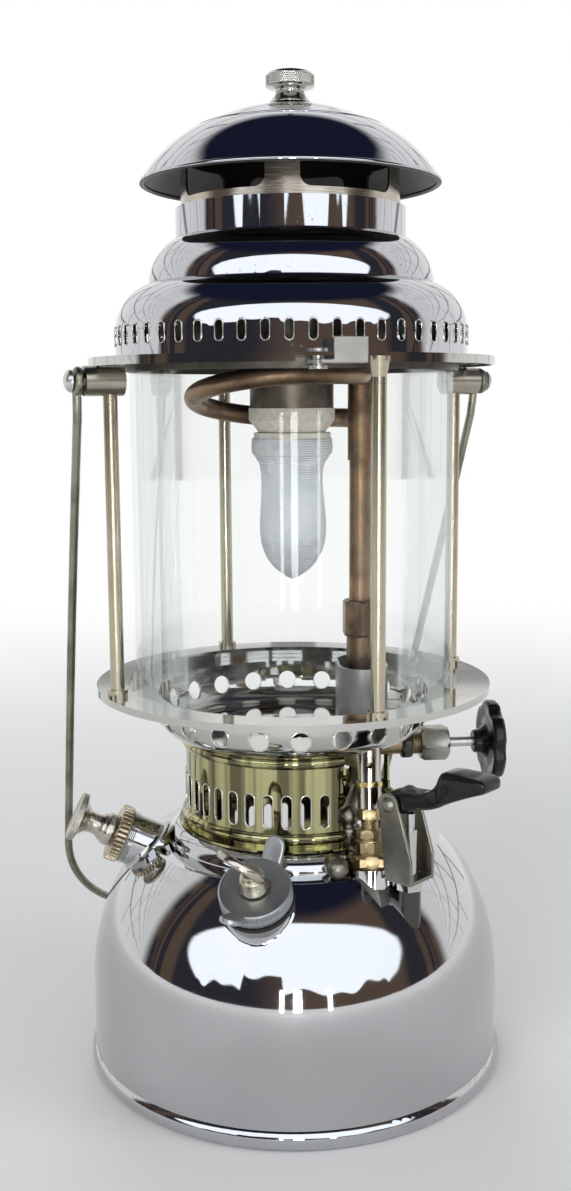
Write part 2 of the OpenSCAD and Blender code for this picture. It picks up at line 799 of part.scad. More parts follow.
// Pressed half section of the casing between two heights, at a wall offset
module casing_shell() {
  difference() {
    union() {
      translate([casing_r - sheet, casing_z0]) square([sheet, bowl_z - casing_z0]);
      translate([casing_r - sheet, casing_z0]) square([casing_foot_r - casing_r + sheet, sheet]);
      translate([casing_r - casing_bead_r / 2, casing_z0 + casing_foot_h]) circle(r = 2 * casing_bead_r);
      translate([casing_r - casing_bead_r / 2, bowl_z - 2 * casing_bead_r]) circle(r = 2 * casing_bead_r);
    }
    square([casing_r - sheet, bowl_z + over]);
    translate([casing_r - casing_bead_r / 2, casing_z0 + casing_foot_h])
      circle(r = 2 * casing_bead_r - sheet);
    translate([casing_r - casing_bead_r / 2, bowl_z - 2 * casing_bead_r])
      circle(r = 2 * casing_bead_r - sheet);
    translate([0, bowl_z]) square([casing_foot_r, casing_foot_r]);
  }
}

module lower_casing() {
  span = slot_z1 - slot_z0 - slot_w;
  color("gainsboro")
    difference() {
      rotate([0, 0, gap_to]) rotate_extrude(angle = 360 + gap_from - gap_to) casing_shell();
      for (i = [0 : slot_count - 1])
        rotate([0, 0, slot_phase + i * slot_step]) translate([casing_r, 0, slot_z0 + slot_w / 2])
          rotate([0, 90, 0])
          union() {
            cylinder(d = slot_w, h = 4 * sheet, center = true, $fn = 24);
            translate([-span, 0, 0]) cylinder(d = slot_w, h = 4 * sheet, center = true, $fn = 24);
            translate([-span / 2, 0, 0]) cube([span, slot_w, 4 * sheet], center = true);
          }
    }
}

// Half section of the bowl, its globe seat and the collar round it
module bowl_section() {
  difference() {
    intersection() {
      translate([bowl_cx, bowl_cz]) circle(r = bowl_arc);
      translate([bowl_cx, bowl_z]) square([bowl_arc, bowl_arc]);
    }
    translate([bowl_cx, bowl_cz]) circle(r = bowl_arc - sheet);
  }
  translate([bowl_eye_r, bowl_z]) square([bowl_cx - bowl_eye_r, sheet]);
  translate([bowl_r - sheet, bowl_cz]) square([sheet, seat_z - bowl_cz]);
  translate([bowl_r - sheet, seat_z - plate]) square([seat_r - bowl_r + sheet, plate]);
  translate([seat_r - plate, seat_z - plate]) square([plate, collar_z - seat_z + plate]);
  translate([seat_r - plate, collar_z - plate]) square([collar_r - seat_r + plate, plate]);
  translate([collar_r - plate, collar_z - lip_h]) square([plate, lip_h]);
}

module bowl() {
  hole_x = bowl_cx + sqrt(bowl_arc * bowl_arc - pow(bowl_cz - hole_z, 2));
  color("silver")
    difference() {
      rotate_extrude() bowl_section();
      for (i = [0 : hole_count - 1])
        rotate([0, 0, hole_phase + i * hole_step]) translate([hole_x, 0, hole_z]) rotate([0, 90, 0])
          cylinder(r = hole_r, h = 3 * hole_r, center = true, $fn = 32);
      at_generator() translate([0, 0, bowl_z - over]) cylinder(r = gen_nut_af / 2, h = sheet + 2 * over);
      on_preheater() translate([0, 0, torch_z]) cylinder(r = torch_r + 2 * eye_gap, h = torch_len + over);
    }
}

module rod(az, top) {
  color("gainsboro")
    rotate([0, 0, az]) translate([rod_circle, 0, collar_z]) union() {
      cylinder(r = rod_r, h = top - collar_z);
      cylinder(r = ferrule_r, h = ferrule_h);
    }
}

module rod_right() { rod(0, lug_z); }

module rod_back() { rod(90, ring_under); }

module rod_left() { rod(180, lug_z); }

module rod_front() {
  rod(270, ring_under);
  color("gainsboro")
    rotate([0, 0, 270]) translate([rod_circle, 0, ring_under - 3 * ferrule_h])
      cylinder(r1 = rod_r, r2 = ferrule_r, h = 3 * ferrule_h);
}

// Round side lug that carries the bail's rivet, riding on top of its rod
module lug(az) {
  color("silver")
    rotate([0, 0, az]) translate([lug_x0, 0, lug_z]) rotate([0, 90, 0])
      difference() {
        cylinder(r = lug_r, h = lug_x1 - lug_x0);
        translate([0, 0, -over]) cylinder(r = rivet_r, h = lug_x1 - lug_x0 + 2 * over);
        rotate([0, 90, 0]) translate([-(rod_circle - lug_x0), 0, 0])
          cylinder(r = rod_r, h = 2 * lug_r);
      }
}

module lug_right() { lug(0); }

module lug_left() { lug(180); }

module rivet(az) {
  color("silver")
    rotate([0, 0, az]) translate([lug_x0, 0, lug_z]) rotate([0, 90, 0]) union() {
      translate([0, 0, rod_circle - lug_x0 + rod_r])
        cylinder(r = rivet_r, h = head_x - rod_circle - rod_r);
      translate([0, 0, head_x - lug_x0])
        cylinder(r1 = rivet_head_r, r2 = rivet_head_r * rivet_taper, h = rivet_head_h);
    }
}

module rivet_right() { rivet(0); }

module rivet_left() { rivet(180); }

module top_ring() {
  color("silver")
    difference() {
      rotate_extrude() union() {
        translate([ring_inner_r, ring_under]) square([collar_r - ring_inner_r, plate]);
        translate([collar_r - plate, ring_lip_z]) square([plate, ring_z - ring_lip_z]);
      }
      rotate([0, 0, catch_az + notch_half / 2]) translate([0, 0, ring_lip_z - over])
        rotate([0, 0, -notch_half]) rotate_extrude(angle = 2 * notch_half)
          translate([collar_r - 2 * plate, 0]) square([3 * plate, ring_under - ring_lip_z + over]);
      rotate([0, 0, catch_az]) translate([rod_circle, 0, ring_under - over])
        cylinder(r = rivet_r, h = plate + 2 * over);
    }
}

// Flange under the ring that keeps the globe centred
module globe_keeper() {
  color("dimgray")
    translate([0, 0, ring_under - keeper_h]) tube(keeper_r + sheet, sheet, keeper_h);
}

module catch_rivet() {
  color("silver")
    rotate([0, 0, catch_az]) translate([rod_circle, 0, ring_under - 2 * plate - 2 * eye_gap]) union() {
      cylinder(r = rivet_r, h = 3 * plate + 2 * eye_gap + over);
      translate([0, 0, -plate]) cylinder(r = rivet_head_r - over, h = plate);
      translate([0, 0, 3 * plate + 2 * eye_gap]) cylinder(r = rivet_head_r - over, h = plate);
    }
}

module globe() {
  color([0.85, 0.95, 0.95, 0.4])
    translate([0, 0, globe_z0]) tube(globe_r, glass, globe_z1 - globe_z0);
}

// Brass body where the spindle meets the riser and the generator
module control_body() {
  color("goldenrod")
    difference() {
      union() {
        at_generator() translate([0, 0, ctl_z - ctl_body_r])
          cylinder(r = ctl_body_r, h = gen_z0 - ctl_z + ctl_body_r);
        on_spindle() translate([0, 0, gen_x]) cylinder(r = ctl_neck_r, h = ctl_neck_x - gen_x);
      }
      on_spindle() translate([0, 0, gen_x - spindle_r])
        cylinder(r = spindle_r + fit, h = ctl_neck_x - gen_x + ctl_neck_r);
      at_generator() translate([0, 0, ctl_z - ctl_body_r - over])
        cylinder(r = gen_bore_r, h = 3 * ctl_body_r);
    }
}

module lock_nut() {
  color("dimgray")
    on_spindle() translate([0, 0, lock_x])
      difference() {
        rotate([0, 0, 90]) hex(lock_af, lock_h);
        translate([0, 0, -over]) cylinder(r = ctl_neck_r, h = lock_h + 2 * over);
      }
}

module packing_nut() {
  color("gray")
    on_spindle() translate([0, 0, pack_x])
      difference() {
        intersection() {
          hex(pack_af, pack_len);
          cylinder(r1 = pack_af / 2 + 2 * pack_chamfer, r2 = (pack_af + pack_chamfer) / 2, h = pack_len);
        }
        translate([0, 0, -over]) cylinder(r = spindle_r + fit, h = pack_len + 2 * over);
        translate([0, 0, -over]) cylinder(r = ctl_neck_r, h = ctl_neck_x - pack_x + over);
      }
}

module generator() {
  color("saddlebrown")
    at_generator() difference() {
      union() {
        translate([0, 0, gen_z0]) cylinder(r = gen_r, h = gen_z1 - gen_z0);
        translate([0, 0, gen_nut_z - gen_collar_h]) cylinder(r = gen_collar_r, h = gen_collar_h);
      }
      translate([0, 0, gen_z0 - over]) cylinder(r = gen_bore_r, h = gen_z1 - gen_z0 + 2 * over);
    }
}

module generator_nut() {
  color("saddlebrown")
    at_generator() translate([0, 0, gen_nut_z])
      difference() {
        hex(gen_nut_af, gen_nut_h);
        translate([0, 0, -over]) cylinder(r = gen_r, h = gen_nut_h + 2 * over);
      }
}

// Sleeve on the generator's top that takes both ends of the loop and the jet
module jet_sleeve() {
  strip = 2 * gen_r;
  color("sienna")
    at_generator() difference() {
      union() {
        translate([0, 0, gen_z1]) cylinder(r = jet_sleeve_r, h = jet_sleeve_z1 - gen_z1);
        translate([0, 0, gen_z1 - strip]) cylinder(r = jet_sleeve_r, h = strip);
      }
      translate([0, 0, gen_z1 - strip - over]) cylinder(r = gen_r, h = strip + over);
      translate([0, 0, gen_z1 - over]) cylinder(r = gen_bore_r, h = jet_sleeve_z1 - gen_z1 + 2 * over);
    }
}

// One descending turn of tube round the burner
module fuel_loop() {
  tilt = asin(half_drop / loop_bend);
  bite = asin((jet_sleeve_r - fit) / loop_bend);
  color("saddlebrown")
    rotate([0, 0, gen_az]) translate([loop_cx, 0, 0])
      difference() {
        union() {
          translate([0, 0, loop_z1]) rotate([0, 0, -90]) rotate_extrude(angle = 90 - bite)
            translate([loop_bend, 0]) circle(r = loop_r);
          translate([0, 0, loop_z0]) rotate([0, 0, bite]) rotate_extrude(angle = 90 - bite)
            translate([loop_bend, 0]) circle(r = loop_r);
          translate([0, 0, loop_z0 + half_drop]) rotate([-tilt, 0, 0]) rotate([0, 0, 90])
            rotate_extrude(angle = 180)
            translate([loop_bend, 0]) circle(r = loop_r);
          for (side = [-1, 1])
            translate([0, side * loop_bend * cos(tilt / 2), loop_z0 + half_drop - side * half_drop])
              sphere(r = loop_r);
        }
        translate([gen_x - loop_cx, 0, loop_z0 - 2 * loop_r])
          cylinder(r = jet_sleeve_r, h = 2 * half_drop + 4 * loop_r);
      }
}

module jet() {
  color("darkgoldenrod")
    at_generator() translate([0, 0, jet_sleeve_z1])
      difference() {
        cylinder(r1 = jet_r, r2 = jet_r - over, h = jet_h, $fn = 24);
        translate([0, 0, -over]) cylinder(r = needle_r + eye_gap, h = jet_h + 2 * over);
      }
}

// Stadium-shaped duct that leads the torch's flame up along the generator
module flame_sleeve() {
  toward = atan2(pre_y - gen_pos[1], pre_x - gen_pos[0]);
  color("dimgray")
    translate([gen_pos[0], gen_pos[1], bowl_z + sheet]) rotate([0, 0, toward])
      difference() {
        linear_extrude(height = flame_z1 - bowl_z - sheet) stadium(flame_r);
        translate([0, 0, -over]) linear_extrude(height = flame_z1) stadium(flame_r - sheet);
      }
}

module stadium(r) {
  circle(r = r);
  translate([flame_len, 0]) circle(r = r);
  translate([0, -r]) square([flame_len, 2 * r]);
}

module preheater_base() {
  color("goldenrod")
    on_preheater() difference() {
      union() {
        hex(pre_base_af, pre_base_h);
        translate([0, 0, pre_base_h]) cylinder(r = pre_block_r, h = pre_block_h);
        translate([0, 0, pre_nut_z - sheet]) cylinder(r = pre_block_r + sheet, h = sheet);
        translate([0, 0, pre_nut_z]) hex(pre_nut_af, pre_nut_h);
        translate([0, 0, pre_neck_z]) cylinder(r = pre_neck_r, h = pre_neck_h);
        translate([0, 0, pre_top_z]) hex(pre_nut_af, pre_top_h);
      }
      translate([0, 0, -over]) cylinder(r = needle_r, h = torch_z + 2 * over);
    }
}

module torch_tube() {
  color("silver")
    on_preheater() translate([0, 0, torch_z])
      difference() {
        tube(torch_r, torch_wall, torch_len);
        for (turn = [0 : 90 : 270])
          rotate([0, 0, turn]) translate([0, 0, torch_hole_z]) rotate([0, 90, 0])
            cylinder(r = torch_hole_r, h = 2 * torch_r, $fn = 24);
      }
}

module torch_band() {
  color("goldenrod")
    on_preheater() translate([0, 0, torch_z + torch_hole_z / 2])
      tube(torch_r + sheet / 2, sheet / 2, 2 * sheet);
}

// U-shaped bracket with two ears that carry the lever's pin
module valve_bracket() {
  color("darkslategray")
    at_valve() difference() {
      union() {
        translate([-ear_w / 2, -bracket_w / 2 - bracket_t, 0])
          cube([ear_w, bracket_w + 2 * bracket_t, bracket_t]);
        for (side = [-1, 1])
          translate([0, side * (bracket_w + bracket_t) / 2, 0]) rotate([90, 0, 0])
            linear_extrude(height = bracket_t, center = true) union() {
              polygon([[-ear_w / 2, 0], [ear_w / 2, 0], [ear_w / 2, pin_h / 3],
                [pin_r * 3 - pin_in, pin_h], [-pin_r * 3 - pin_in, pin_h]]);
              translate([-pin_in, pin_h]) circle(r = pin_r * 3);
            }
      }
      translate([0, 0, -over]) cylinder(r = valve_r, h = bracket_t + 2 * over);
      translate([-pin_in, 0, pin_h]) rotate([90, 0, 0])
        cylinder(r = pin_r, h = 2 * bracket_w, center = true);
    }
}

// Barrel of the preheater's valve, with the nut that holds it and the bracket
module valve_barrel() {
  color("silver")
    at_valve() difference() {
      union() {
        translate([0, 0, -over]) cylinder(r = valve_r, h = valve_h + over);
        translate([0, 0, -valve_nut_h]) hex(valve_nut_af, valve_nut_h);
      }
      translate([0, 0, bracket_t]) cylinder(r = plunger_r + fit, h = valve_h);
    }
}

module lever_pin() {
  reach = bracket_w / 2 + bracket_t;
  color("gray")
    at_valve() translate([-pin_in, 0, pin_h]) rotate([90, 0, 0]) union() {
      cylinder(r = pin_r, h = 2 * reach, center = true);
      for (side = [0, 1])
        mirror([0, 0, side]) translate([0, 0, reach]) cylinder(r1 = 2 * pin_r, r2 = pin_r, h = pin_r);
    }
}

// Wire handle that hangs behind the tank, with an eye on each rivet
module bail() {
  arm = (bail_len - bail_bend) / cos(bail_taper) + bail_bend * tan(bail_taper);
  foot_x = eye_x - arm * sin(bail_taper);
  corner_x = foot_x - bail_bend * cos(bail_taper);
  color("darkslategray")
    translate([0, 0, lug_z]) rotate([bail_lean, 0, 0])
      difference() {
        union() {
          for (side = [0, 1])
            mirror([side, 0, 0]) {
              translate([eye_x - eye_t / 2, 0, 0]) rotate([0, 90, 0]) cylinder(r = eye_r, h = eye_t);
              translate([eye_x, 0, 0]) rotate([0, 180 + bail_taper, 0]) cylinder(r = wire_r, h = arm);
              translate([corner_x, 0, -bail_len + bail_bend]) rotate([90, 0, 0])
                rotate([0, 0, -90]) rotate_extrude(angle = 90 - bail_taper)
                  translate([bail_bend, 0]) circle(r = wire_r);
              translate([foot_x, 0, -arm * cos(bail_taper)]) sphere(r = wire_r * bend_swell);
              translate([corner_x, 0, -bail_len]) sphere(r = wire_r * bend_swell);
            }
          translate([0, 0, -bail_len]) rotate([0, 90, 0])
            cylinder(r = wire_r, h = 2 * corner_x, center = true);
        }
        rotate([0, 90, 0]) cylinder(r = rivet_r + fit, h = 3 * eye_x, center = true);
      }
}

// Cylinder inside the hood with feet on the ring, struts for the mixing chamber and a bridge
module inner_casing() {
  strut_az = gen_az + 180;
  stand_z = hood_z;
  color("dimgray")
    difference() {
      union() {
        translate([0, 0, stand_z]) tube(inner_r, sheet, inner_z1 - stand_z);
        for (turn = [60, 180, 300])
          rotate([0, 0, gen_az + turn]) {
            translate([inner_r - sheet, -strut_w / 2, stand_z]) cube([foot_len + sheet, strut_w, plate]);
            translate([chamber_r, -strut_w / 2, stand_z + strut_w])
              cube([inner_r - chamber_r - sheet / 2, strut_w, plate]);
          }
        translate([0, 0, inner_z1 - plate]) rotate([0, 0, gen_az + 90])
          cube([2 * inner_r - sheet, strut_w, 2 * plate], center = true);
        translate([0, 0, inner_z1 - plate]) cylinder(r = 2 * stud_r, h = band_z - inner_z1);
      }
      translate([0, 0, inner_z1 - 4 * plate])
        cylinder(r = stud_r + fit, h = band_z - inner_z1 + 6 * plate);
    }
}

// Chamber over the burner, fed from the jet by a bent tube
module mixing_tube() {
  bend = gen_x / 2;
  bend_z = chamber_z1 + plate;
  color("dimgray")
    difference() {
      union() {
        translate([0, 0, chamber_z0]) cylinder(r = chamber_r, h = chamber_z1 - chamber_z0 + plate);
        rotate([0, 0, gen_az]) translate([bend, 0, bend_z]) rotate([90, 0, 0])
          rotate_extrude(angle = 180) translate([bend, 0]) circle(r = mixing_r);
        at_generator() translate([0, 0, mouth_z]) cylinder(r = mixing_r, h = bend_z - mouth_z);
        at_generator() translate([0, 0, mouth_z]) cylinder(r1 = mouth_r, r2 = mixing_r, h = 2 * plate);
        translate([0, 0, chamber_z1]) cylinder(r = mixing_r + mixing_wall, h = 3 * plate);
        at_generator() translate([0, 0, bend_z - plate])
          cylinder(r = mixing_r + mixing_wall, h = 2 * plate);
      }
      translate([0, 0, chamber_z0 - over])
        cylinder(r = chamber_r - mixing_wall, h = chamber_z1 - chamber_z0 + over);
      rotate([0, 0, gen_az]) translate([bend, 0, bend_z]) rotate([90, 0, 0])
        rotate_extrude(angle = 180) translate([bend, 0]) circle(r = mixing_r - mixing_wall);
      translate([0, 0, chamber_z1 - over]) cylinder(r = mixing_r - mixing_wall, h = plate + over);
      at_generator() translate([0, 0, mouth_z - over])
        cylinder(r = mixing_r - mixing_wall, h = bend_z - mouth_z + over);
    }
}

module ceramic_nozzle() {
  flange_z = chamber_z0 - nozzle_flange_h;
  cone_z = flange_z - nozzle_cone_h;
  color("white")
    difference() {
      union() {
        translate([0, 0, flange_z]) cylinder(r = nozzle_flange_r, h = nozzle_flange_h);
        translate([0, 0, cone_z]) cylinder(r1 = nozzle_r + over, r2 = nozzle_flange_r, h = nozzle_cone_h);
        translate([0, 0, nozzle_z0]) cylinder(r = nozzle_r, h = cone_z - nozzle_z0);
      }
      translate([0, 0, nozzle_z0 - over]) cylinder(r = bore_r, h = chamber_z0 - nozzle_z0 + 2 * over);
    }
}

module mantle_ring() {
  ring_top = chamber_z0 - nozzle_flange_h - nozzle_cone_h - eye_gap;
  color("whitesmoke")
    translate([0, 0, ring_top - mantle_ring_h]) union() {
      tube(mantle_ring_r - over, mantle_ring_r - over - nozzle_r, mantle_ring_h);
      for (i = [0 : mantle_lugs - 1])
        rotate([0, 0, i * 360 / mantle_lugs])
          translate([nozzle_r + over, -2 * over, mantle_ring_h - 3 * over])
          cube([mantle_ring_r - nozzle_r - over, 4 * over, 3 * over]);
    }
}

// Half section of the mantle, drawn inset from its outer face
module mantle_section(inset) {
  end_z = mantle_mid_z - mantle_end_r + 2 * over;
  top_z = chamber_z0 - nozzle_flange_h - nozzle_cone_h - eye_gap - mantle_ring_h;
  intersection() {
    union() {
      translate([mantle_r - mantle_arc, mantle_mid_z]) circle(r = mantle_arc - inset, $fn = 128);
      translate([0, end_z]) circle(r = mantle_end_r - inset);
    }
    union() {
      translate([0, end_z]) square([mantle_r, top_z - end_z]);
      translate([0, end_z]) circle(r = mantle_end_r - inset);
    }
    square([mantle_r, ring_z]);
  }
}

module mantle() {
  color("white")
    rotate_extrude() difference() {
      mantle_section(0);
      mantle_section(mantle_wall);
    }
}

// Half section of the two-bulge cover, drawn inset from its outer face
module cover_section(inset) {
  translate([0, hood_z - inset]) square([skirt_r - inset, skirt_z - hood_z + inset]);
  intersection() {
    translate([bulge2_cx, skirt_z]) circle(r = bulge2_arc - inset);
    translate([0, skirt_z]) square([skirt_r, bulge2_arc]);
  }
  translate([0, skirt_z]) square([bulge2_cx, step_z - skirt_z - inset]);
  translate([0, step_z - 2 * over - inset]) square([step_r - inset, 2 * over]);
  intersection() {
    translate([bulge1_cx, step_z]) circle(r = bulge1_arc - inset);
    translate([0, step_z - over]) square([step_r, bulge1_arc + over]);
  }
  translate([0, step_z - 2 * over - inset]) square([band_r - inset, band_z - step_z + 2 * over + inset]);
}

module hood_cover() {
  top = vent_h - vent_w;
  color("silver")
    difference() {
      rotate_extrude() difference() {
        cover_section(0);
        cover_section(hood_sheet);
        square([chimney_r, band_z + over]);
      }
      for (i = [0 : vent_count - 1])
        rotate([0, 0, vent_phase + i * vent_step]) translate([skirt_r, 0, ring_z + vent_up + vent_w / 2])
          rotate([0, 90, 0]) union() {
            cylinder(d = vent_w, h = 4 * hood_sheet, center = true, $fn = 16);
            translate([-top, 0, 0]) cylinder(d = vent_w, h = 4 * hood_sheet, center = true, $fn = 16);
            translate([-top / 2, 0, 0]) cube([top, vent_w, 4 * hood_sheet], center = true);
          }
    }
}

// Rectangle with rounded corners, centred on the origin
module rounded(w, h, r) {
  square([w - 2 * r, h], center = true);
  square([w, h - 2 * r], center = true);
  for (x = [-1, 1], y = [-1, 1])
    translate([x * (w / 2 - r), y * (h / 2 - r)]) circle(r = r, $fn = 24);
}

module hood_chimney() {
  chimney_z1 = roll_cz + sqrt(pow(roll_arc - hood_sheet, 2) - pow(chimney_r - roll_cx, 2));
  step = 360 / window_count;
  open = step - leg_w / chimney_r * 180 / PI;
  width = 2 * chimney_r * sin(open / 2);
  tall = window_z1 - window_z0;
  color("lightgray")
    difference() {
      translate([0, 0, chimney_z0]) tube(chimney_r, sheet, chimney_z1 - chimney_z0);
      for (i = [0 : window_count - 1])
        rotate([0, 0, leg_az + step / 2 + i * step]) translate([chimney_r / 2, 0, window_z0 + tall / 2])
          rotate([90, 0, 90]) linear_extrude(height = chimney_r) rounded(width, tall, window_round);
    }
}

// Half section of the hood's cap, drawn inset from its outer face
module cap_section(inset) {
  intersection() {
    translate([roll_cx, roll_cz]) circle(r = roll_arc - inset);
    translate([0, rim_z - inset]) square([2 * roll_arc, roll_arc]);
  }
  intersection() {
    translate([0, crest_z - crest_arc]) circle(r = crest_arc - inset);
    translate([0, rim_z - inset]) square([ridge_r - inset, roll_arc]);
  }
}

module hood_cap() {
  rim_r = roll_cx + sqrt(pow(roll_arc, 2) - pow(rim_z - roll_cz, 2));
  color("silver")
    difference() {
      rotate_extrude() union() {
        difference() {
          cap_section(0);
          cap_section(hood_sheet);
        }
        translate([rim_r - hood_sheet, rim_z + hood_sheet / 2]) circle(r = hood_sheet, $fn = 24);
      }
      translate([0, 0, crest_z - 6 * hood_sheet]) cylinder(r = stud_r + fit, h = 9 * hood_sheet);
    }
}

module top_knob() {
  waist_z = knob_z + knob_foot_h;
  disc_z = waist_z + knob_waist_h;
  color("silver")
    difference() {
      union() {
        translate([0, 0, knob_z]) cylinder(r = knob_foot_r, h = knob_foot_h);
        translate([0, 0, waist_z])
          cylinder(r1 = knob_foot_r * waist_taper, r2 = knob_waist_r, h = knob_waist_h / 2);
        translate([0, 0, waist_z]) cylinder(r = knob_waist_r, h = knob_waist_h);
        translate([0, 0, disc_z]) cylinder(r = knob_r, h = knob_h);
      }
      translate([0, 0, knob_z - over]) cylinder(r = stud_r, h = knob_foot_h + knob_waist_h + over);
      for (i = [0 : knurl_count - 1])
        rotate([0, 0, i * 360 / knurl_count]) translate([knob_r, 0, disc_z - over])
          cylinder(r = knurl_r, h = knob_h + 2 * over, $fn = 4);
    }
}

// Long threaded stud under the knob that screws into the inner casing's hub
module knob_stud() {
  color("gray")
    translate([0, 0, stud_z0]) cylinder(r = stud_r, h = knob_z + knob_foot_h + knob_waist_h - stud_z0);
}

// Swivelling plate under the ring, with a thumb tab folded up outside its edge
module hood_catch() {
  tab_x = collar_r + eye_gap + over / 2 - rod_circle;
  color("silver")
    rotate([0, 0, catch_az]) translate([rod_circle, 0, ring_under - 2 * plate])
      difference() {
        union() {
          cylinder(r = rivet_head_r, h = plate);
          cube([tab_x + plate, catch_reach, plate]);
          translate([tab_x, catch_reach - catch_tab_w, 0]) cube([plate, catch_tab_w, catch_tab_h]);
        }
        translate([0, 0, -over]) cylinder(r = rivet_r + fit, h = plate + 2 * over);
      }
}

module pump_knob() {
  flare_z = pump_knob_len - pump_disc_h;
  middle = (pump_foot_h + flare_z) / 2;
  color("gainsboro")
    on_pump() translate([0, 0, pump_foot_z])
      difference() {
        union() {
          cylinder(r = pump_foot_r, h = pump_foot_h);
          translate([0, 0, pump_foot_h])
            cylinder(r1 = pump_foot_r * waist_taper, r2 = pump_waist_r, h = middle - pump_foot_h);
          translate([0, 0, middle]) cylinder(r1 = pump_waist_r, r2 = pump_foot_r, h = flare_z - middle);
          translate([0, 0, flare_z]) cylinder(r = pump_knob_r, h = pump_disc_h);
        }
        translate([0, 0, -over]) cylinder(r = pump_rod_r, h = flare_z + over);
        for (i = [0 : knurl_count - 1])
          rotate([0, 0, i * 360 / knurl_count]) translate([pump_knob_r, 0, flare_z - over])
            cylinder(r = knurl_r, h = pump_disc_h + 2 * over, $fn = 4);
      }
}

module pump_rod() {
  low = -barrel_len + 2 * barrel_r;
  color("gray")
    on_pump() translate([0, 0, low])
      cylinder(r = pump_rod_r, h = pump_foot_z + pump_knob_len - pump_disc_h - low);
}

module pump_leather() {
  low = -barrel_len + 2 * barrel_r;
  color("saddlebrown")
    on_pump() translate([0, 0, low])
      difference() {
        cylinder(r = barrel_r - barrel_wall - fit, h = leather_h);
        translate([0, 0, -over]) cylinder(r = pump_rod_r, h = leather_h + 2 * over);
        translate([0, 0, -over]) cylinder(r = barrel_r - 2 * barrel_wall - over, h = leather_h / 2);
      }
}

module filler_gasket() {
  color("black")
    on_filler() translate([0, 0, filler_neck_h + eye_gap])
      tube(gasket_r, gasket_r - plug_r - fit, gasket_h - eye_gap);
}

module filler_cap() {
  color("gainsboro")
    on_filler() translate([0, 0, cap_z])
      difference() {
        union() {
          cylinder(r = cap_r, h = cap_h);
          for (turn = [0, 180])
            rotate([0, 0, wing_turn + turn]) {
              translate([cap_r - wing_t, -wing_w / 2, 0])
                cube([wing_t, wing_w, cap_h + wing_h - wing_w / 2]);
              translate([cap_r - wing_t, 0, cap_h + wing_h - wing_w / 2]) rotate([0, 90, 0])
                cylinder(d = wing_w, h = wing_t);
            }
        }
        translate([0, 0, -over]) cylinder(r = stud_r + fit, h = cap_h + 2 * over);
      }
}

// Threaded plug under the cap, bored for the release screw
module filler_plug() {
  color("goldenrod")
    on_filler() translate([0, 0, cap_z - plug_h]) tube(plug_r, plug_r - stud_r - fit, plug_h);
}

// Stem and flat finger ring of the pressure release screw
module vent_screw() {
  foot_z = cap_z + cap_h + eye_gap;
  color("gainsboro")
    on_filler() union() {
      translate([0, 0, foot_z - cap_h]) cylinder(r = stud_r, h = cap_h + over);
      translate([0, 0, foot_z]) cylinder(r1 = stem_r0, r2 = stem_r1, h = stem_h);
      translate([0, 0, foot_z + stem_h]) rotate([0, 0, ring_turn]) rotate([-ring_lean, 0, 0])
        translate([0, 0, ring_r - over]) rotate([90, 0, 0]) difference() {
          cylinder(r = ring_r, h = ring_t, center = true);
          cylinder(r = ring_hole_r, h = 2 * ring_t, center = true);
        }
    }
}

module hand_wheel() {
  scallop_r = wheel_r * scallop_share;
  color([0.08, 0.08, 0.09])
    on_spindle() difference() {
      union() {
        translate([0, 0, wheel_x])
          cylinder(r1 = wheel_r * hub_share, r2 = wheel_r * scallop_out, h = wheel_cone);
        translate([0, 0, wheel_x + wheel_cone]) cylinder(r = wheel_r, h = wheel_rim);
      }
      for (i = [0 : scallops - 1])
        rotate([0, 0, (i + 0.5) * 360 / scallops])
          translate([wheel_r + scallop_r * scallop_out, 0, wheel_x + wheel_cone / 2])
          cylinder(r = scallop_r, h = wheel_cone + wheel_rim, $fn = 32);
      translate([0, 0, wheel_x - over]) cylinder(r = spindle_r, h = wheel_cone + wheel_rim);
    }
}

module spindle() {
  inner = gen_x + gen_bore_r + eye_gap;
  color("silver")
    on_spindle() translate([0, 0, inner])
      cylinder(r = spindle_r, h = wheel_x + wheel_cone + wheel_rim - over - inner);
}

// Thin rod that clears the jet when the spindle lifts it
module needle() {
  low = ctl_z + spindle_r + eye_gap;
  color("silver")
    at_generator() translate([0, 0, low]) cylinder(r = needle_r, h = jet_sleeve_z1 - low, $fn = 24);
}

// Black lever whose cam presses the plunger
module preheater_lever() {
  hub_r = pin_r * 3;
  color([0.06, 0.06, 0.07])
    at_valve() translate([-pin_in, 0, pin_h])
      difference() {
        union() {
          rotate([90, 0, 0]) cylinder(r = hub_r, h = arm_w, center = true);
          translate([pin_in, 0, -eye_gap * 2]) rotate([90, 0, 0])
            cylinder(r = cam_r, h = arm_w, center = true);
          rotate([90, 0, 0]) linear_extrude(height = arm_w, center = true)
            polygon([[-hub_r, 0], [0, -over], [pin_in + cam_r, -over], [lever_len / 2, grip_up / 3],
              [lever_len - over, grip_up - grip_t / 2], [lever_len - over, grip_up],
              [lever_len / 2, grip_up], [lever_len / 3, hub_r + over], [-hub_r, hub_r + over]]);
          translate([lever_len / 2, -grip_w / 2, grip_up - grip_t / 2])
            cube([lever_len / 2, grip_w, grip_t]);
        }
        rotate([90, 0, 0]) cylinder(r = pin_r + fit, h = 2 * grip_w, center = true);
      }
}

module plunger() {
  color("gray")
    at_valve() translate([0, 0, valve_h / 2]) cylinder(r = plunger_r, h = valve_h / 2 + plunger_h);
}

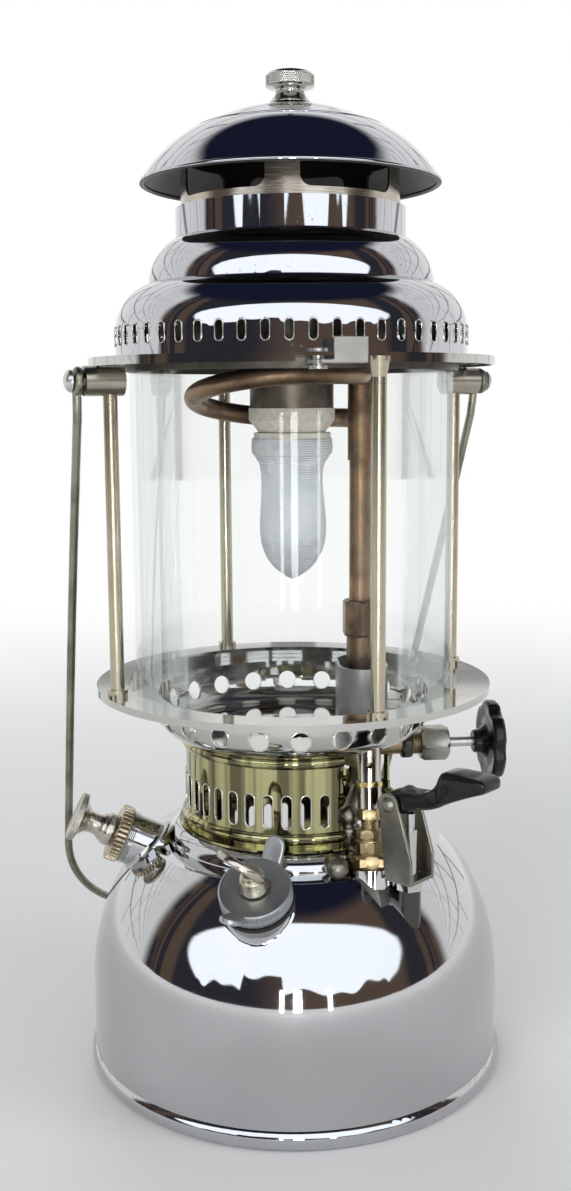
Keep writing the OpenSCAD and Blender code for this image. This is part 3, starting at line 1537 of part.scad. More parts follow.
tank();
pump_barrel();
check_valve();
pump_cap();
pickup_tube();
riser_nut();
riser();
lower_casing();
bowl();
rod_right();
rod_back();
rod_left();
rod_front();
lug_right();
lug_left();
rivet_right();
rivet_left();
top_ring();
globe_keeper();
catch_rivet();
globe();
control_body();
lock_nut();
packing_nut();
generator();
generator_nut();
jet_sleeve();
fuel_loop();
jet();
flame_sleeve();
preheater_base();
torch_tube();
torch_band();
valve_bracket();
valve_barrel();
lever_pin();
bail();
inner_casing();
mixing_tube();
ceramic_nozzle();
mantle_ring();
mantle();
hood_cover();
hood_chimney();
hood_cap();
top_knob();
knob_stud();
hood_catch();
pump_knob();
pump_rod();
pump_leather();
filler_gasket();
filler_cap();
filler_plug();
vent_screw();
hand_wheel();
spindle();
needle();
preheater_lever();
plunger();
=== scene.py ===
import math
import bmesh
import bpy
from mathutils import Matrix, Vector


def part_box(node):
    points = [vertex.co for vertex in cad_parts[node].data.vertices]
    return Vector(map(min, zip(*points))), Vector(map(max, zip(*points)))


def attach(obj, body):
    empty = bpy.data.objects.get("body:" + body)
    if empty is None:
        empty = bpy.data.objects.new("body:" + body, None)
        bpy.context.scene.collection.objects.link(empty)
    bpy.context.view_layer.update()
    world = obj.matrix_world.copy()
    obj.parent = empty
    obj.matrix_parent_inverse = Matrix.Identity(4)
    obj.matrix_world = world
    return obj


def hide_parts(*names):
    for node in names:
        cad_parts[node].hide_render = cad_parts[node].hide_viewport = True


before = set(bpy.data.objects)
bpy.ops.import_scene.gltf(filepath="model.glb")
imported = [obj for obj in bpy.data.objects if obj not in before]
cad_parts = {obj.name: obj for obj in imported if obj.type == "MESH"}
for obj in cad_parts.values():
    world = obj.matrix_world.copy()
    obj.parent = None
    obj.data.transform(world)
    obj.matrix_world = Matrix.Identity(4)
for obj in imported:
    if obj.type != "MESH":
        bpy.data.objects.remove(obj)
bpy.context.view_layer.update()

# Studio: a camera at standing height in front of the filler side, a pale floor that fades into
# a white surround, and soft lamps. Polished metal sees a white wall behind the lantern, and an
# open sky between dark houses in front of it.
turned = math.radians(-24)
stand_off = 0.5373
eye_height = 0.2789
pitch = math.radians(8.7)
tilt = math.radians(0.31)
image_size = (571, 1191)
focal_pixels = 1309
centre_pixel = (292.8, 597.0)

lens = bpy.data.cameras.new("camera")
lens.sensor_width = 36
lens.lens = focal_pixels / image_size[1] * lens.sensor_width
lens.shift_x = (image_size[0] / 2 - centre_pixel[0]) / image_size[1]
lens.shift_y = (centre_pixel[1] - image_size[1] / 2) / image_size[1]
lens.clip_start = 0.01
camera = bpy.data.objects.new("camera", lens)
camera.matrix_world = (
    Matrix.Rotation(turned, 4, "Z")
    @ Matrix.Translation((0, -stand_off, eye_height))
    @ Matrix.Rotation(math.pi / 2 - pitch, 4, "X")
    @ Matrix.Rotation(-tilt, 4, "Z")
)
bpy.context.collection.objects.link(camera)
bpy.context.scene.camera = camera
bpy.context.scene.view_settings.view_transform = "Standard"


class Wire:
    """A socket of a node tree. Arithmetic on it adds the Math nodes that work it out."""

    def __init__(self, tree, socket):
        self.tree = tree
        self.socket = socket

    def math(self, operation, *values):
        step = self.tree.nodes.new("ShaderNodeMath")
        step.operation = operation
        for entry, value in zip(step.inputs, values):
            plug(self.tree, value, entry)
        return Wire(self.tree, step.outputs[0])

    def __add__(self, other):
        return self.math("ADD", self, other)

    def __sub__(self, other):
        return self.math("SUBTRACT", self, other)

    def __rsub__(self, other):
        return self.math("SUBTRACT", other, self)

    def __mul__(self, other):
        return self.math("MULTIPLY", self, other)

    def __truediv__(self, other):
        return self.math("DIVIDE", self, other)

    def __pow__(self, other):
        return self.math("POWER", self, other)

    def __gt__(self, other):
        return self.math("GREATER_THAN", self, other)

    def __abs__(self):
        return self.math("ABSOLUTE", self)

    __radd__ = __add__
    __rmul__ = __mul__

    def sine(self):
        return self.math("SINE", self)

    def arctan2(self, x):
        return self.math("ARCTAN2", self, x)

    def floor(self):
        return self.math("FLOOR", self)

    def fraction(self):
        return self.math("FRACT", self)

    def at_least(self, other):
        return self.math("MAXIMUM", self, other)

    def clamp(self):
        return self.math("MINIMUM", self.at_least(0), 1)

    def ramp(self, low, high):
        """0 below low, 1 above high, and smooth between them."""
        step = self.tree.nodes.new("ShaderNodeMapRange")
        step.interpolation_type = "SMOOTHSTEP"
        plug(self.tree, self, step.inputs["Value"])
        step.inputs["From Min"].default_value = low
        step.inputs["From Max"].default_value = high
        return Wire(self.tree, step.outputs[0])


def plug(tree, value, entry):
    """Links a wire to an input, or sets the input to a plain value."""
    if isinstance(value, Wire):
        tree.links.new(value.socket, entry)
    else:
        entry.default_value = value


class Nodes:
    """A node tree of the room or of a finish, and one method that adds any node to it."""

    def __init__(self, tree):
        self.tree = tree

    def add(self, kind, settings=None, inputs=None, output=0):
        step = self.tree.nodes.new(kind)
        for name, value in (settings or {}).items():
            setattr(step, name, value)
        for name, value in (inputs or {}).items():
            plug(self.tree, value, step.inputs[name])
        return Wire(self.tree, step.outputs[output])

    def mix(self, share, first, second):
        """Blends two colours."""
        first, second = [end if isinstance(end, Wire) else (*end, 1) for end in (first, second)]
        return self.add("ShaderNodeMix", {"data_type": "RGBA"}, {0: share, 6: first, 7: second}, 2)

    def parts(self, vector):
        """The three coordinates of a vector."""
        x = self.add("ShaderNodeSeparateXYZ", inputs={"Vector": vector})
        return [Wire(self.tree, out) for out in x.socket.node.outputs]

    def ray(self, kind):
        """1 for one kind of ray, and 0 for the others."""
        return self.add("ShaderNodeLightPath", output=f"Is {kind} Ray")


class Finish(Nodes):
    """A surface finish: a material, its shader and its nodes."""

    def __init__(self, name, **constants):
        self.material = bpy.data.materials.new(name)
        self.material.use_nodes = True
        super().__init__(self.material.node_tree)
        self.shader = self.tree.nodes["Principled BSDF"]
        self.set(**constants)

    def set(self, **values):
        """Gives sockets of the shader their wires or values."""
        for socket, value in values.items():
            plug(self.tree, value, self.shader.inputs[socket.replace("_", " ")])
        return self.material

    def cover(self, shader):
        """Shows another shader in place of the plain one."""
        plug(self.tree, shader, self.tree.nodes["Material Output"].inputs["Surface"])
        return self.material

    def place(self):
        return self.add("ShaderNodeTexCoord", output="Object")

    def vector(self, x, y, z):
        return self.add("ShaderNodeCombineXYZ", inputs={"X": x, "Y": y, "Z": z})

    def noise(self, where, scale, detail=2, rough=0.5):
        settings = {"Vector": where, "Scale": scale, "Detail": detail, "Roughness": rough}
        return self.add("ShaderNodeTexNoise", inputs=settings)

    def wear(self, radius):
        """About 1 on edges sharper than the radius, 0 on flats, and the softened normal."""
        soft = self.add("ShaderNodeBevel", {"samples": 4}, {"Radius": radius})
        plain = self.add("ShaderNodeNewGeometry", output="Normal")
        turn = {"operation": "DOT_PRODUCT"}
        dot = self.add("ShaderNodeVectorMath", turn, {0: soft, 1: plain}, "Value")
        return (1 - dot).ramp(0.004, 0.12), soft

    def bump(self, height, strength, distance, normal=None):
        inputs = {"Height": height, "Strength": strength, "Distance": distance}
        if normal:
            inputs["Normal"] = normal
        return self.add("ShaderNodeBump", inputs=inputs)


surround = bpy.data.worlds.new("surround")
bpy.context.scene.world = surround
surround.use_nodes = True
room = Nodes(surround.node_tree)
room.tree.nodes.clear()
east, north, up = room.parts(room.add("ShaderNodeTexCoord", output="Generated"))
behind = math.radians(66)
depth = east * math.cos(behind) + north * math.sin(behind)
across = east * math.sin(behind) - north * math.cos(behind)
nearest = 0.04

# Behind stands a white wall of blocks with thin dark joints, so metal shows the white backdrop.
courses, blocks = 3.1, 1.25
far = depth.at_least(nearest)
course = up / far * courses + 0.35
block = across / far * blocks + course.floor() * 0.5
bed_joint = abs(course.fraction() - 0.5) > 0.455
end_joint = abs(block.fraction() - 0.5) > 0.478
wall = room.mix(bed_joint.at_least(end_joint) * 0.72, (1.0, 1.0, 1.0), (0.1, 0.1, 0.1))

# In front lies an open sky between dark houses, one of them tall, under a dark roof edge.
front = (0 - depth).at_least(nearest)
aside = across / front
height = up - 0.28
spread = across * across * 0.52 + height * height * 1.9
opening = (0.40 - spread).ramp(0, 0.02) * (0 - depth).ramp(0.05, 0.15)
roofs = (aside * 7 + 1.2).sine() * 0.035 + (aside * 17).sine() * 0.02 + 0.13
tall_house = 1 - abs(aside + 0.34).ramp(0.2, 0.24)
skyline = roofs + tall_house * 0.17
sky = opening * (up - skyline).ramp(-0.004, 0.006)
brick = (aside * 1.3 + 0.4).sine().ramp(-0.3, 0.5)
houses = room.mix(brick, (0.035, 0.035, 0.045), (0.13, 0.09, 0.07))
street = room.mix(sky, houses, (1.62, 1.70, 1.80))
sides = room.mix(depth.ramp(-0.02, 0.1), street, wall)
mirrored = room.mix(up.ramp(0.72, 0.82), sides, (0.012, 0.015, 0.035))
lighting = room.mix(room.ray("Glossy"), (0.5, 0.5, 0.5), mirrored)
direct = (room.ray("Camera") + room.ray("Transmission")).clamp()
shown = room.mix(direct, lighting, (1.0, 1.0, 1.0))
backdrop = room.add("ShaderNodeBackground", inputs={"Color": shown})
room_out = room.tree.nodes.new("ShaderNodeOutputWorld")
plug(room.tree, backdrop, room_out.inputs["Surface"])

floor_mesh = bmesh.new()
bmesh.ops.create_circle(floor_mesh, cap_ends=True, segments=96, radius=4)
floor_data = bpy.data.meshes.new("floor")
floor_mesh.to_mesh(floor_data)
floor_mesh.free()
floor = bpy.data.objects.new("floor", floor_data)
bpy.context.collection.objects.link(floor)
ground = Finish("pale_floor", Base_Color=(0.74, 0.75, 0.76, 1), Roughness=0.75)
away_x, away_y, away_z = ground.parts(ground.place())
away = (away_x * away_x + away_y * away_y) ** 0.5
seen = (ground.ray("Camera") + ground.ray("Glossy") + ground.ray("Transmission")).clamp()
glow = ground.add("ShaderNodeEmission")
plain = Wire(ground.tree, ground.shader.outputs[0])
ends = {0: seen * away.ramp(0.25, 1.3), 1: plain, 2: glow}
floor_data.materials.append(ground.cover(ground.add("ShaderNodeMixShader", inputs=ends)))


def lamp_at(name, power, place, turn, wide, tall):
    """A flat soft lamp of a width and a height."""
    light = bpy.data.lights.new(name, "AREA")
    light.shape = "RECTANGLE"
    light.size = wide
    light.size_y = tall
    light.energy = power
    lamp = bpy.data.objects.new(name, light)
    lamp.location = place
    lamp.rotation_euler = turn
    bpy.context.collection.objects.link(lamp)
    return lamp


for name, place, size, power in (
    ("lamp_left", (-1.1, -0.9, 1.1), 0.8, 9),
    ("lamp_right", (1.0, -1.0, 0.8), 0.7, 6),
    ("lamp_back", (0.3, 1.3, 1.3), 0.9, 8),
):
    aim = (Vector((0, 0, 0.2)) - Vector(place)).to_track_quat("-Z", "Y").to_euler()
    lamp_at(name, power, place, aim, size, size).visible_glossy = False

# Three tall narrow lamps draw the upright streaks on glass and rods.
strip_out, strip_up, strip_tall = 1.25, 0.135, 0.25
for name, az, wide, power in (
    ("strip_left", -121, 0.05, 0.7),
    ("strip_middle", -112.5, 0.1, 1.6),
    ("strip_right", -96, 0.04, 0.5),
):
    az = math.radians(az)
    place = (strip_out * math.cos(az), strip_out * math.sin(az), strip_up)
    lamp_at(name, power, place, (math.pi / 2, 0, az + math.pi / 2), wide, strip_tall)


# Tank: a pressed and soldered steel shell with heavy chrome plate. The plate is polished round
# the axis, hazy with handling, and carries fine pits and drips near the foot.
def soot_share(sheet, x, y):
    """1 on faces that look inward or down, where smoke settles, and 0 on the outside."""
    face_x, face_y, face_z = sheet.parts(sheet.add("ShaderNodeNewGeometry", output="Normal"))
    inward = (0 - (face_x * x + face_y * y) / (x * x + y * y) ** 0.5).ramp(0.1, 0.45)
    under = (0 - face_z).ramp(0.25, 0.55)
    return inward.at_least(under)


def chrome(name, tint=(0.56, 0.565, 0.575), haze=0.035, pits=0.35, sooted=False, painted_reflection=None):
    """Chrome plate; the last argument is the tint of upright dark stripes, a painted reflection.
    """
    plate = Finish(name, Metallic=1.0)
    where = plate.place()
    x, y, z = plate.parts(where)
    radius = (x * x + y * y) ** 0.5
    smear = plate.noise(where, 22, 5, 0.62)
    swirl = plate.noise(plate.vector(y.arctan2(x) * 1.5, radius * 120, z * 420), 1.0, 3)
    pit = plate.add("ShaderNodeTexVoronoi", inputs={"Vector": where, "Scale": 420.0})
    spot = (1 - pit.ramp(0.03, 0.2)) * plate.noise(where, 30, 2).ramp(0.5, 0.68) * pits
    colour = plate.mix(smear.ramp(0.35, 0.8) * 0.35, tint, tuple(c * 0.82 for c in tint))
    # Upright dark stripes mixed into the colour are a painted reflection.
    if painted_reflection:
        painted_streak = plate.noise(plate.vector(x * 70, y * 70, 0), 1.0, 3, 0.65)
        colour = plate.mix(painted_streak.ramp(0.44, 0.56) * 0.9, colour, painted_reflection)
    colour = plate.mix(spot, colour, (0.25, 0.23, 0.2))
    rough = haze + smear.ramp(0.45, 0.85) * haze * 1.6 + swirl.ramp(0.4, 0.9) * 0.02 + spot * 0.3
    if sooted:
        soot = soot_share(plate, x, y) * (0.8 + smear * 0.2)
        colour = plate.mix(soot, colour, (0.035, 0.03, 0.027))
        rough = rough + soot * 0.42
    polish = plate.bump(swirl * 0.5 - spot, 0.02, 0.0004)
    return plate.set(Base_Color=colour, Roughness=rough, Normal=polish)


def finish_nodes(material, *names):
    """Gives CAD nodes one finish."""
    for name in names:
        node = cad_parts[name]
        node.data.materials.clear()
        node.data.materials.append(material)


tank_plate = chrome("tank_chrome")
finish_nodes(tank_plate, "tank")

# Pump: a brass barrel inside the tank, a plated cap with coarse grooves, a rod with a leather
# cup, and a turned knob whose rim is knurled for the thumb. Its boss is soldered to the dome.
mm = 0.001


def perch(az=0, out=0, up=0, lean=0):
    """A place turned to az and out from the lantern's axis, with its own axis leaned outward."""
    return (
        Matrix.Rotation(math.radians(az), 4, "Z")
        @ Matrix.Translation((out * mm, 0, up * mm))
        @ Matrix.Rotation(math.radians(lean), 4, "Y")
        @ Matrix.Scale(mm, 4)
    )


def skin(shell, place, rings, looped=False):
    """Adds the surface over a row of rings of points, closed at its ends or into a loop."""
    loops = [[shell.verts.new(place @ Vector(point)) for point in ring] for ring in rings]
    for low, high in zip(loops, loops[1:] + loops[:1] if looped else loops[1:]):
        corners = zip(low, low[1:] + low[:1], high, high[1:] + high[:1])
        for here, after, above, beyond in corners:
            shell.faces.new((here, after, beyond, above))
    if not looped:
        shell.faces.new(loops[0])
        shell.faces.new(loops[-1])


def around(count):
    """The angles of that many points on a circle."""
    return [math.tau * i / count for i in range(count)]


def polar(r, a, z):
    """The point at a radius, an angle and a height."""
    return (r * math.cos(a), r * math.sin(a), z)


def lathe(shell, place, rows, steps=96, shape=None, looped=False):
    """Turns a profile of (radius, height); shape(angle, radius, height) cuts into it."""
    rings = []
    for r, z in rows:
        rings.append([polar(shape(a, r, z) if shape else r, a, z) for a in around(steps)])
    skin(shell, place, rings, looped)


def eased(rows, cut=0.4, parts=3):
    """Rounds the corners of a profile."""
    out = [rows[0]]
    for before, corner, after in zip(rows, rows[1:], rows[2:]):
        a, b, c = Vector(before), Vector(corner), Vector(after)
        start = b + (a - b).normalized() * min(cut, (a - b).length * 0.45)
        end = b + (c - b).normalized() * min(cut, (c - b).length * 0.45)
        for i in range(parts + 1):
            t = i / parts
            out.append(tuple(start.lerp(b, t).lerp(b.lerp(end, t), t)))
    return out + [rows[-1]]


def piece(name, shell, material, body, stands_for=(), crease=32):
    """Makes the finished piece of a shell and puts it on its body."""
    bmesh.ops.recalc_face_normals(shell, faces=shell.faces)
    data = bpy.data.meshes.new(name)
    shell.to_mesh(data)
    shell.free()
    data.materials.append(material)
    data.shade_smooth()
    data.set_sharp_from_angle(angle=math.radians(crease))
    made = bpy.data.objects.new(name, data)
    bpy.context.collection.objects.link(made)
    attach(made, body)
    if stands_for:
        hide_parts(*stands_for)
    return made


dome_arc = 80.3
dome_centre = (5.5, 38)
ledge = (61.5, 95.4)
neck_ring = (46.5, 95.4, 7.4)


def in_tank(spot):
    """Whether a point lies under the dome, the ledge or the neck ring."""
    r = math.hypot(spot.x, spot.y)
    in_dome = math.hypot(r - dome_centre[0], spot.z - dome_centre[1]) < dome_arc
    on_ledge = r < ledge[0] and spot.z < ledge[1]
    in_ring = math.hypot(r - neck_ring[0], spot.z - neck_ring[1]) < neck_ring[2]
    return in_dome or on_ledge or in_ring


def solder(shell, place, inner, spread, height, steps=72):
    """A hollow fillet of solder round a boss of radius inner, laid on the tank."""
    lap, foot, lowest, highest = 0.3, 0.8, -40.0, 20.0
    rings = []
    deepest = [lowest] * steps
    for part in (0, 0.12, 0.3, 0.5, 0.72, 1, 1):
        ring = []
        for i, a in enumerate(around(steps)):
            r = inner + spread * part - lap
            low, high = lowest, highest
            for _ in range(30):
                z = (low + high) / 2
                inside = in_tank(place @ Vector(polar(r, a, z)) / mm)
                low, high = (z, high) if inside else (low, z)
            if low < deepest[i]:
                low = deepest[i]
                r = inner + spread * part * 0.25 - lap
            deepest[i] = low - spread * 0.9
            blob = 1 + 0.22 * math.sin(a * 5 + 1) + 0.14 * math.sin(a * 11)
            ring.append(polar(r, a, low + height * blob * (1 - part) ** 2.2 - 0.05))
        rings.append(ring)
    rings[-1] = [(x, y, z - foot) for x, y, z in rings[-1]]
    base = [(x, y, z - foot - height) for x, y, z in rings[0]]
    skin(shell, place, [base] + rings, looped=True)


def turned_metal(name, bright, dark, rough, grime=0.5, edge=0.0004, wear=0.6):
    """Turned or cast metal, bright on its worn edges and dark where grime stays."""
    stock = Finish(name, Metallic=1.0)
    where = stock.place()
    cloud = stock.noise(where, 60, 5, 0.6)
    fine = stock.noise(where, 900, 2)
    rim, soft = stock.wear(edge)
    share = (cloud.ramp(0.35, 0.72) * grime + fine * 0.15 - rim * wear).clamp()
    colour = stock.mix(share, bright, dark)
    gloss = rough + cloud.ramp(0.3, 0.8) * 0.18 + fine * 0.06 - rim * 0.1
    grain = stock.bump(fine, 0.12, 0.0002, soft)
    return stock.set(Base_Color=colour, Roughness=gloss, Normal=grain)


worn_nickel = turned_metal("worn_nickel", (0.56, 0.53, 0.46), (0.24, 0.20, 0.14), 0.13)
groove_nickel = turned_metal("groove_nickel", (0.66, 0.57, 0.42), (0.17, 0.12, 0.07), 0.22, 0.9)
groove_darkened = turned_metal("groove_darkened", (0.20, 0.15, 0.10), (0.07, 0.05, 0.035), 0.4, 0.9)
dull_brass = turned_metal("dull_brass", (0.62, 0.50, 0.28), (0.20, 0.14, 0.08), 0.24, 0.8)
bright_steel = turned_metal("bright_steel", (0.66, 0.66, 0.65), (0.32, 0.31, 0.29), 0.2)
leather = turned_metal("oiled_leather", (0.25, 0.14, 0.07), (0.08, 0.05, 0.03), 0.5)
finish_nodes(dull_brass, "pump_barrel", "check_valve", "pickup_tube")
finish_nodes(bright_steel, "pump_rod")
finish_nodes(leather, "pump_leather")

pump_seat = perch(az=163, out=64.6, up=93.96, lean=65)
boss_r = 10.9
boss = bmesh.new()
solder(boss, pump_seat, inner=11, spread=2.0, height=2.2)
for level in (5.3, 6.1, 6.9):
    ridge = [(boss_r, level - 0.3), (11.35, level), (boss_r, level + 0.3), (10.6, level)]
    lathe(boss, pump_seat, ridge, looped=True)
boss_plate = chrome("boss_chrome", (0.54, 0.535, 0.51), 0.08, 0.8)
piece("pump_solder", boss, boss_plate, "frame")


def clipped(value):
    return max(0.0, min(1.0, value))


def grooves(count, depth, low, high, width=0.5):
    """A shape that cuts straight grooves into the rim between two radii."""

    def cut(a, r, z):
        wave = abs((a * count / math.tau) % 1 - 0.5) * 2
        bite = clipped((wave - 1 + width) / width * 1.6)
        return r - depth * bite * clipped((r - low) / (high - low))

    return cut


cap = bmesh.new()
cap_rows = [(3, 7.5), (11, 7.5), (11.9, 8.1), (12, 12), (11.5, 12.7), (3, 12.75), (2.7, 10)]
cap_rim = grooves(36, depth=0.75, low=11.2, high=12)
lathe(cap, pump_seat, eased(cap_rows, 0.35), 432, cap_rim, looped=True)
pump_cap = piece("pump_cap_grooved", cap, groove_nickel, "frame", ["pump_cap"])
# The faces deep in the grooves take a darker finish.
pump_cap.data.materials.append(groove_darkened)
groove_z, groove_r = (8.1, 12.2), (11, 11.6)
for face in pump_cap.data.polygons:
    spot = pump_seat.inverted() @ face.center
    deep_in = groove_r[0] < math.hypot(spot.x, spot.y) < groove_r[1]
    if deep_in and groove_z[0] < spot.z < groove_z[1]:
        face.material_index = 1


def knurl(count, depth, low, high, z_low, z_high):
    """A shape with crossed fine knurling between two heights of a rim."""

    def cut(a, r, z):
        if r < low or not z_low <= z <= z_high:
            return r
        twist = (z - z_low) / (z_high - z_low) * 2.4 * math.tau / count
        one = math.cos((a + twist) * count)
        other = math.cos((a - twist) * count)
        return r - depth * (2 - one - other) / 4 * min(1.0, (r - low) / (high - low))

    return cut


knob = bmesh.new()
flare = 27.5
knob_rows = eased(
    [
        (0.4, 13.2), (6.6, 13.2), (6.9, 13.6), (6.9, 16.2), (5.9, 17.2), (5.9, 18), (4.6, 19.6),
        (4.2, 22), (4.8, 24.6), (7.4, 26.9), (9.6, flare), (10.1, flare + 0.4),
    ],
    0.5,
)
knob_rows += [(10.2, flare + 0.5 + i * 0.16) for i in range(13)]
knob_face = [(10.1, 2.6), (9.7, 2.95), (7.4, 2.95), (6.9, 2.6), (0.4, 2.6)]
knob_rows += eased([(r, flare + rise) for r, rise in knob_face], 0.3)
thumb_rim = knurl(80, 0.3, low=9.9, high=10.15, z_low=flare + 0.45, z_high=flare + 2.5)
lathe(knob, pump_seat, knob_rows, 480, thumb_rim)
piece("pump_knob_turned", knob, worn_nickel, "pump", ["pump_knob"])

# Filler: a nickelled brass cap with two thick wings, screwed down on a rubber gasket. The release
# screw in its middle has a conical brass-coloured collar and a thick polished finger ring.
filler_seat = perch(az=-125.7, out=67.5, up=89.03, lean=33)
neck = bmesh.new()
solder(neck, filler_seat, inner=12.4, spread=2.2, height=2.0)
piece("filler_solder", neck, tank_plate, "frame")
grey_nickel = turned_metal("grey_nickel", (0.50, 0.52, 0.54), (0.30, 0.31, 0.32), 0.3)
filler = bmesh.new()
rim_rows = [
    (2.6, 4.6), (13.6, 4.6), (14, 5.1), (14, 7.2), (13.8, 7.5), (13.8, 9.4), (14, 9.7),
    (13.9, 10.9), (13.3, 11.35), (6.4, 11.35), (6.1, 11.1), (2.6, 11.1), (2.55, 8),
]
milled = grooves(96, depth=0.22, low=13.5, high=14, width=0.8)
lathe(filler, filler_seat, eased(rim_rows, 0.3), 480, milled, looped=True)


def squared(wave, power):
    """A sine or cosine with flatter sides, which squares off a round section."""
    return math.copysign(abs(wave) ** power, wave)


def slab(shell, place, stations, power, steps=28):
    """A bar with rounded corners; stations are (x, z, half width, half thickness, standing)."""
    rings = []
    for x, z, wide, thick, standing in stations:
        ring = []
        for a in around(steps):
            side = wide * squared(math.cos(a), 2 / power)
            rise = thick * squared(math.sin(a), 2 / power)
            ring.append((x - rise, side, z) if standing else (x, side, z + rise))
        rings.append(ring)
    skin(shell, place, rings)


wing_out, wing_foot, wing_round, wing_half = 12.8, 9.0, 16.4, 4.0
wing_twist, wing_lean, wing_thick, tip_thick = -17, 43, 1.15, 0.95
for side in (0, 180):
    wing = (
        filler_seat
        @ Matrix.Rotation(math.radians(side + wing_twist), 4, "Z")
        @ Matrix.Translation((wing_out, 0, wing_foot))
        @ Matrix.Rotation(math.radians(wing_lean), 4, "Y")
        @ Matrix.Translation((-wing_out, 0, -wing_foot))
    )
    stations = []
    for z in (wing_foot, 11, 14, wing_round):
        x = 12.75 + (z - wing_foot) * 0.03
        stations.append((x, z, wing_half, wing_thick, True))
    for i in range(1, 9):
        rise = wing_half * math.sin(i / 8 * 1.5)
        narrow = math.sqrt(wing_half**2 - rise**2)
        thick = wing_thick if i < 7 else tip_thick
        stations.append((12.97, wing_round + rise, narrow, thick, True))
    slab(filler, wing, stations, 5)
piece("filler_cap_winged", filler, grey_nickel, "filler", ["filler_cap"])
finish_nodes(dull_brass, "filler_plug")
seal = Finish("black_rubber", Base_Color=(0.012, 0.012, 0.012, 1))
seal.set(Roughness=0.5 + seal.noise(seal.place(), 500, 2) * 0.2)
finish_nodes(seal.material, "filler_gasket")

stem = bmesh.new()
stem_rows = [
    (0.3, 11.7), (5.6, 11.7), (5.65, 12.4), (4.75, 17.6), (4.3, 18.2), (3.7, 18.3), (3.5, 20.3),
    (0.3, 20.4),
]
lathe(stem, filler_seat, eased(stem_rows, 0.4), 72)
lathe(stem, filler_seat, [(0.3, 5), (2.4, 5), (2.4, 11.8), (0.3, 11.8)], 36)
stem_nickel = turned_metal("stem_nickel", (0.74, 0.69, 0.55), (0.42, 0.36, 0.24), 0.18)
piece("release_stem", stem, stem_nickel, "vent", ["vent_screw"])
ring_turn, ring_lean, ring_r, ring_corner = -121.4, -26, 8, 0.55
ring_seat = (
    filler_seat
    @ Matrix.Translation((0, 0, 19.7))
    @ Matrix.Rotation(math.radians(ring_turn), 4, "Z")
    @ Matrix.Rotation(math.radians(ring_lean), 4, "X")
    @ Matrix.Translation((0, 0, 9))
    @ Matrix.Rotation(math.radians(90), 4, "X")
)
pull = bmesh.new()
band = []
for a in around(28):
    wide, tall = squared(math.cos(a), ring_corner), squared(math.sin(a), ring_corner)
    band.append((ring_r + 2.0 * wide, 1.6 * tall))
lathe(pull, ring_seat, band, 96, looped=True)
piece("release_ring", pull, worn_nickel, "vent")

# Lower casing: polished nickel sheet with two rolled mouldings and a row of air slots, whose
# pressed edges are a lighter metal, a painted highlight. It stands on the tank's neck ring and
# carries the bowl.
# The casing's dark upright stripes are a painted reflection.
casing_nickel = chrome("casing_nickel", (0.52, 0.50, 0.26), 0.05, 0.3, painted_reflection=(0.11, 0.095, 0.055))
finish_nodes(casing_nickel, "lower_casing")
# A light metal on the slot and hole lips: a painted highlight on their edges.
lip_highlight_metal = turned_metal("lip_highlight_metal", (0.84, 0.83, 0.76), (0.55, 0.52, 0.42), 0.14)
upright = Matrix.Scale(mm, 4)


def wire(shell, place, path, radius, steps=14, looped=False):
    """Sweeps a round section along a path."""
    points = [Vector(p) for p in path]
    last = len(points) - 1
    side = None
    rings = []
    for i, point in enumerate(points):
        ahead = points[(i + 1) % (last + 1)] if looped or i < last else point
        behind = points[i - 1] if looped or i else point
        along = (ahead - behind).normalized()
        side = along.orthogonal().normalized() if side is None else side
        side = (side - along * side.dot(along)).normalized()
        up = along.cross(side)
        turns = [side * math.cos(a) + up * math.sin(a) for a in around(steps)]
        rings.append([point + turn * radius for turn in turns])
    skin(shell, place, rings, looped)


def slot_lip(shell, az, wide, low, high, face, radius):
    """A rounded lip round an upright slot in a turned wall; face(z) is the wall's radius."""
    half = wide / 2
    path = []
    for first, centre in ((0, high - half), (math.pi, low + half)):
        for i in range(8):
            a = first + math.pi * i / 7
            z = centre + half * math.sin(a)
            turn = math.radians(az) + half * math.cos(a) / face(z)
            path.append(polar(face(z), turn, z))
    wire(shell, upright, path, radius, 6, looped=True)


casing_slots, first_slot = 38, -117.5
gap_start, gap_end = -92, 1
casing_r = 45.45
lips = bmesh.new()
for i in range(casing_slots):
    az = first_slot + i * 360 / casing_slots
    if (az - gap_start) % 360 >= gap_end - gap_start:
        slot_lip(lips, az, 4.2, low=111.6, high=125.2, face=lambda z: casing_r, radius=0.28)
piece("casing_slot_lips", lips, lip_highlight_metal, "frame")

# Bowl, collar and top ring: spun and chromed sheet. The bowl stands on the casing, seats the
# globe, and has a row of round air holes with pressed lips.
frame_plate = chrome("collar_chrome", (0.56, 0.555, 0.53), 0.05)
finish_nodes(frame_plate, "bowl", "top_ring")
bowl_arc = 11.7
bowl_centre = (45.4, 152)
bowl_holes, first_hole, hole_z, hole_r = 22, -111.2, 149.6, 4.1
lips = bmesh.new()
for i in range(bowl_holes):
    az = math.radians(first_hole + i * 360 / bowl_holes)
    path = []
    for a in around(24):
        z = hole_z + hole_r * math.sin(a)
        r = bowl_centre[0] + math.sqrt(bowl_arc**2 - (z - bowl_centre[1]) ** 2)
        path.append(polar(r, az + hole_r * math.cos(a) / r, z))
    wire(lips, upright, path, 0.32, 6, looped=True)
# The hole lips take the light lip metal, a painted highlight.
piece("bowl_hole_lips", lips, lip_highlight_metal, "frame")


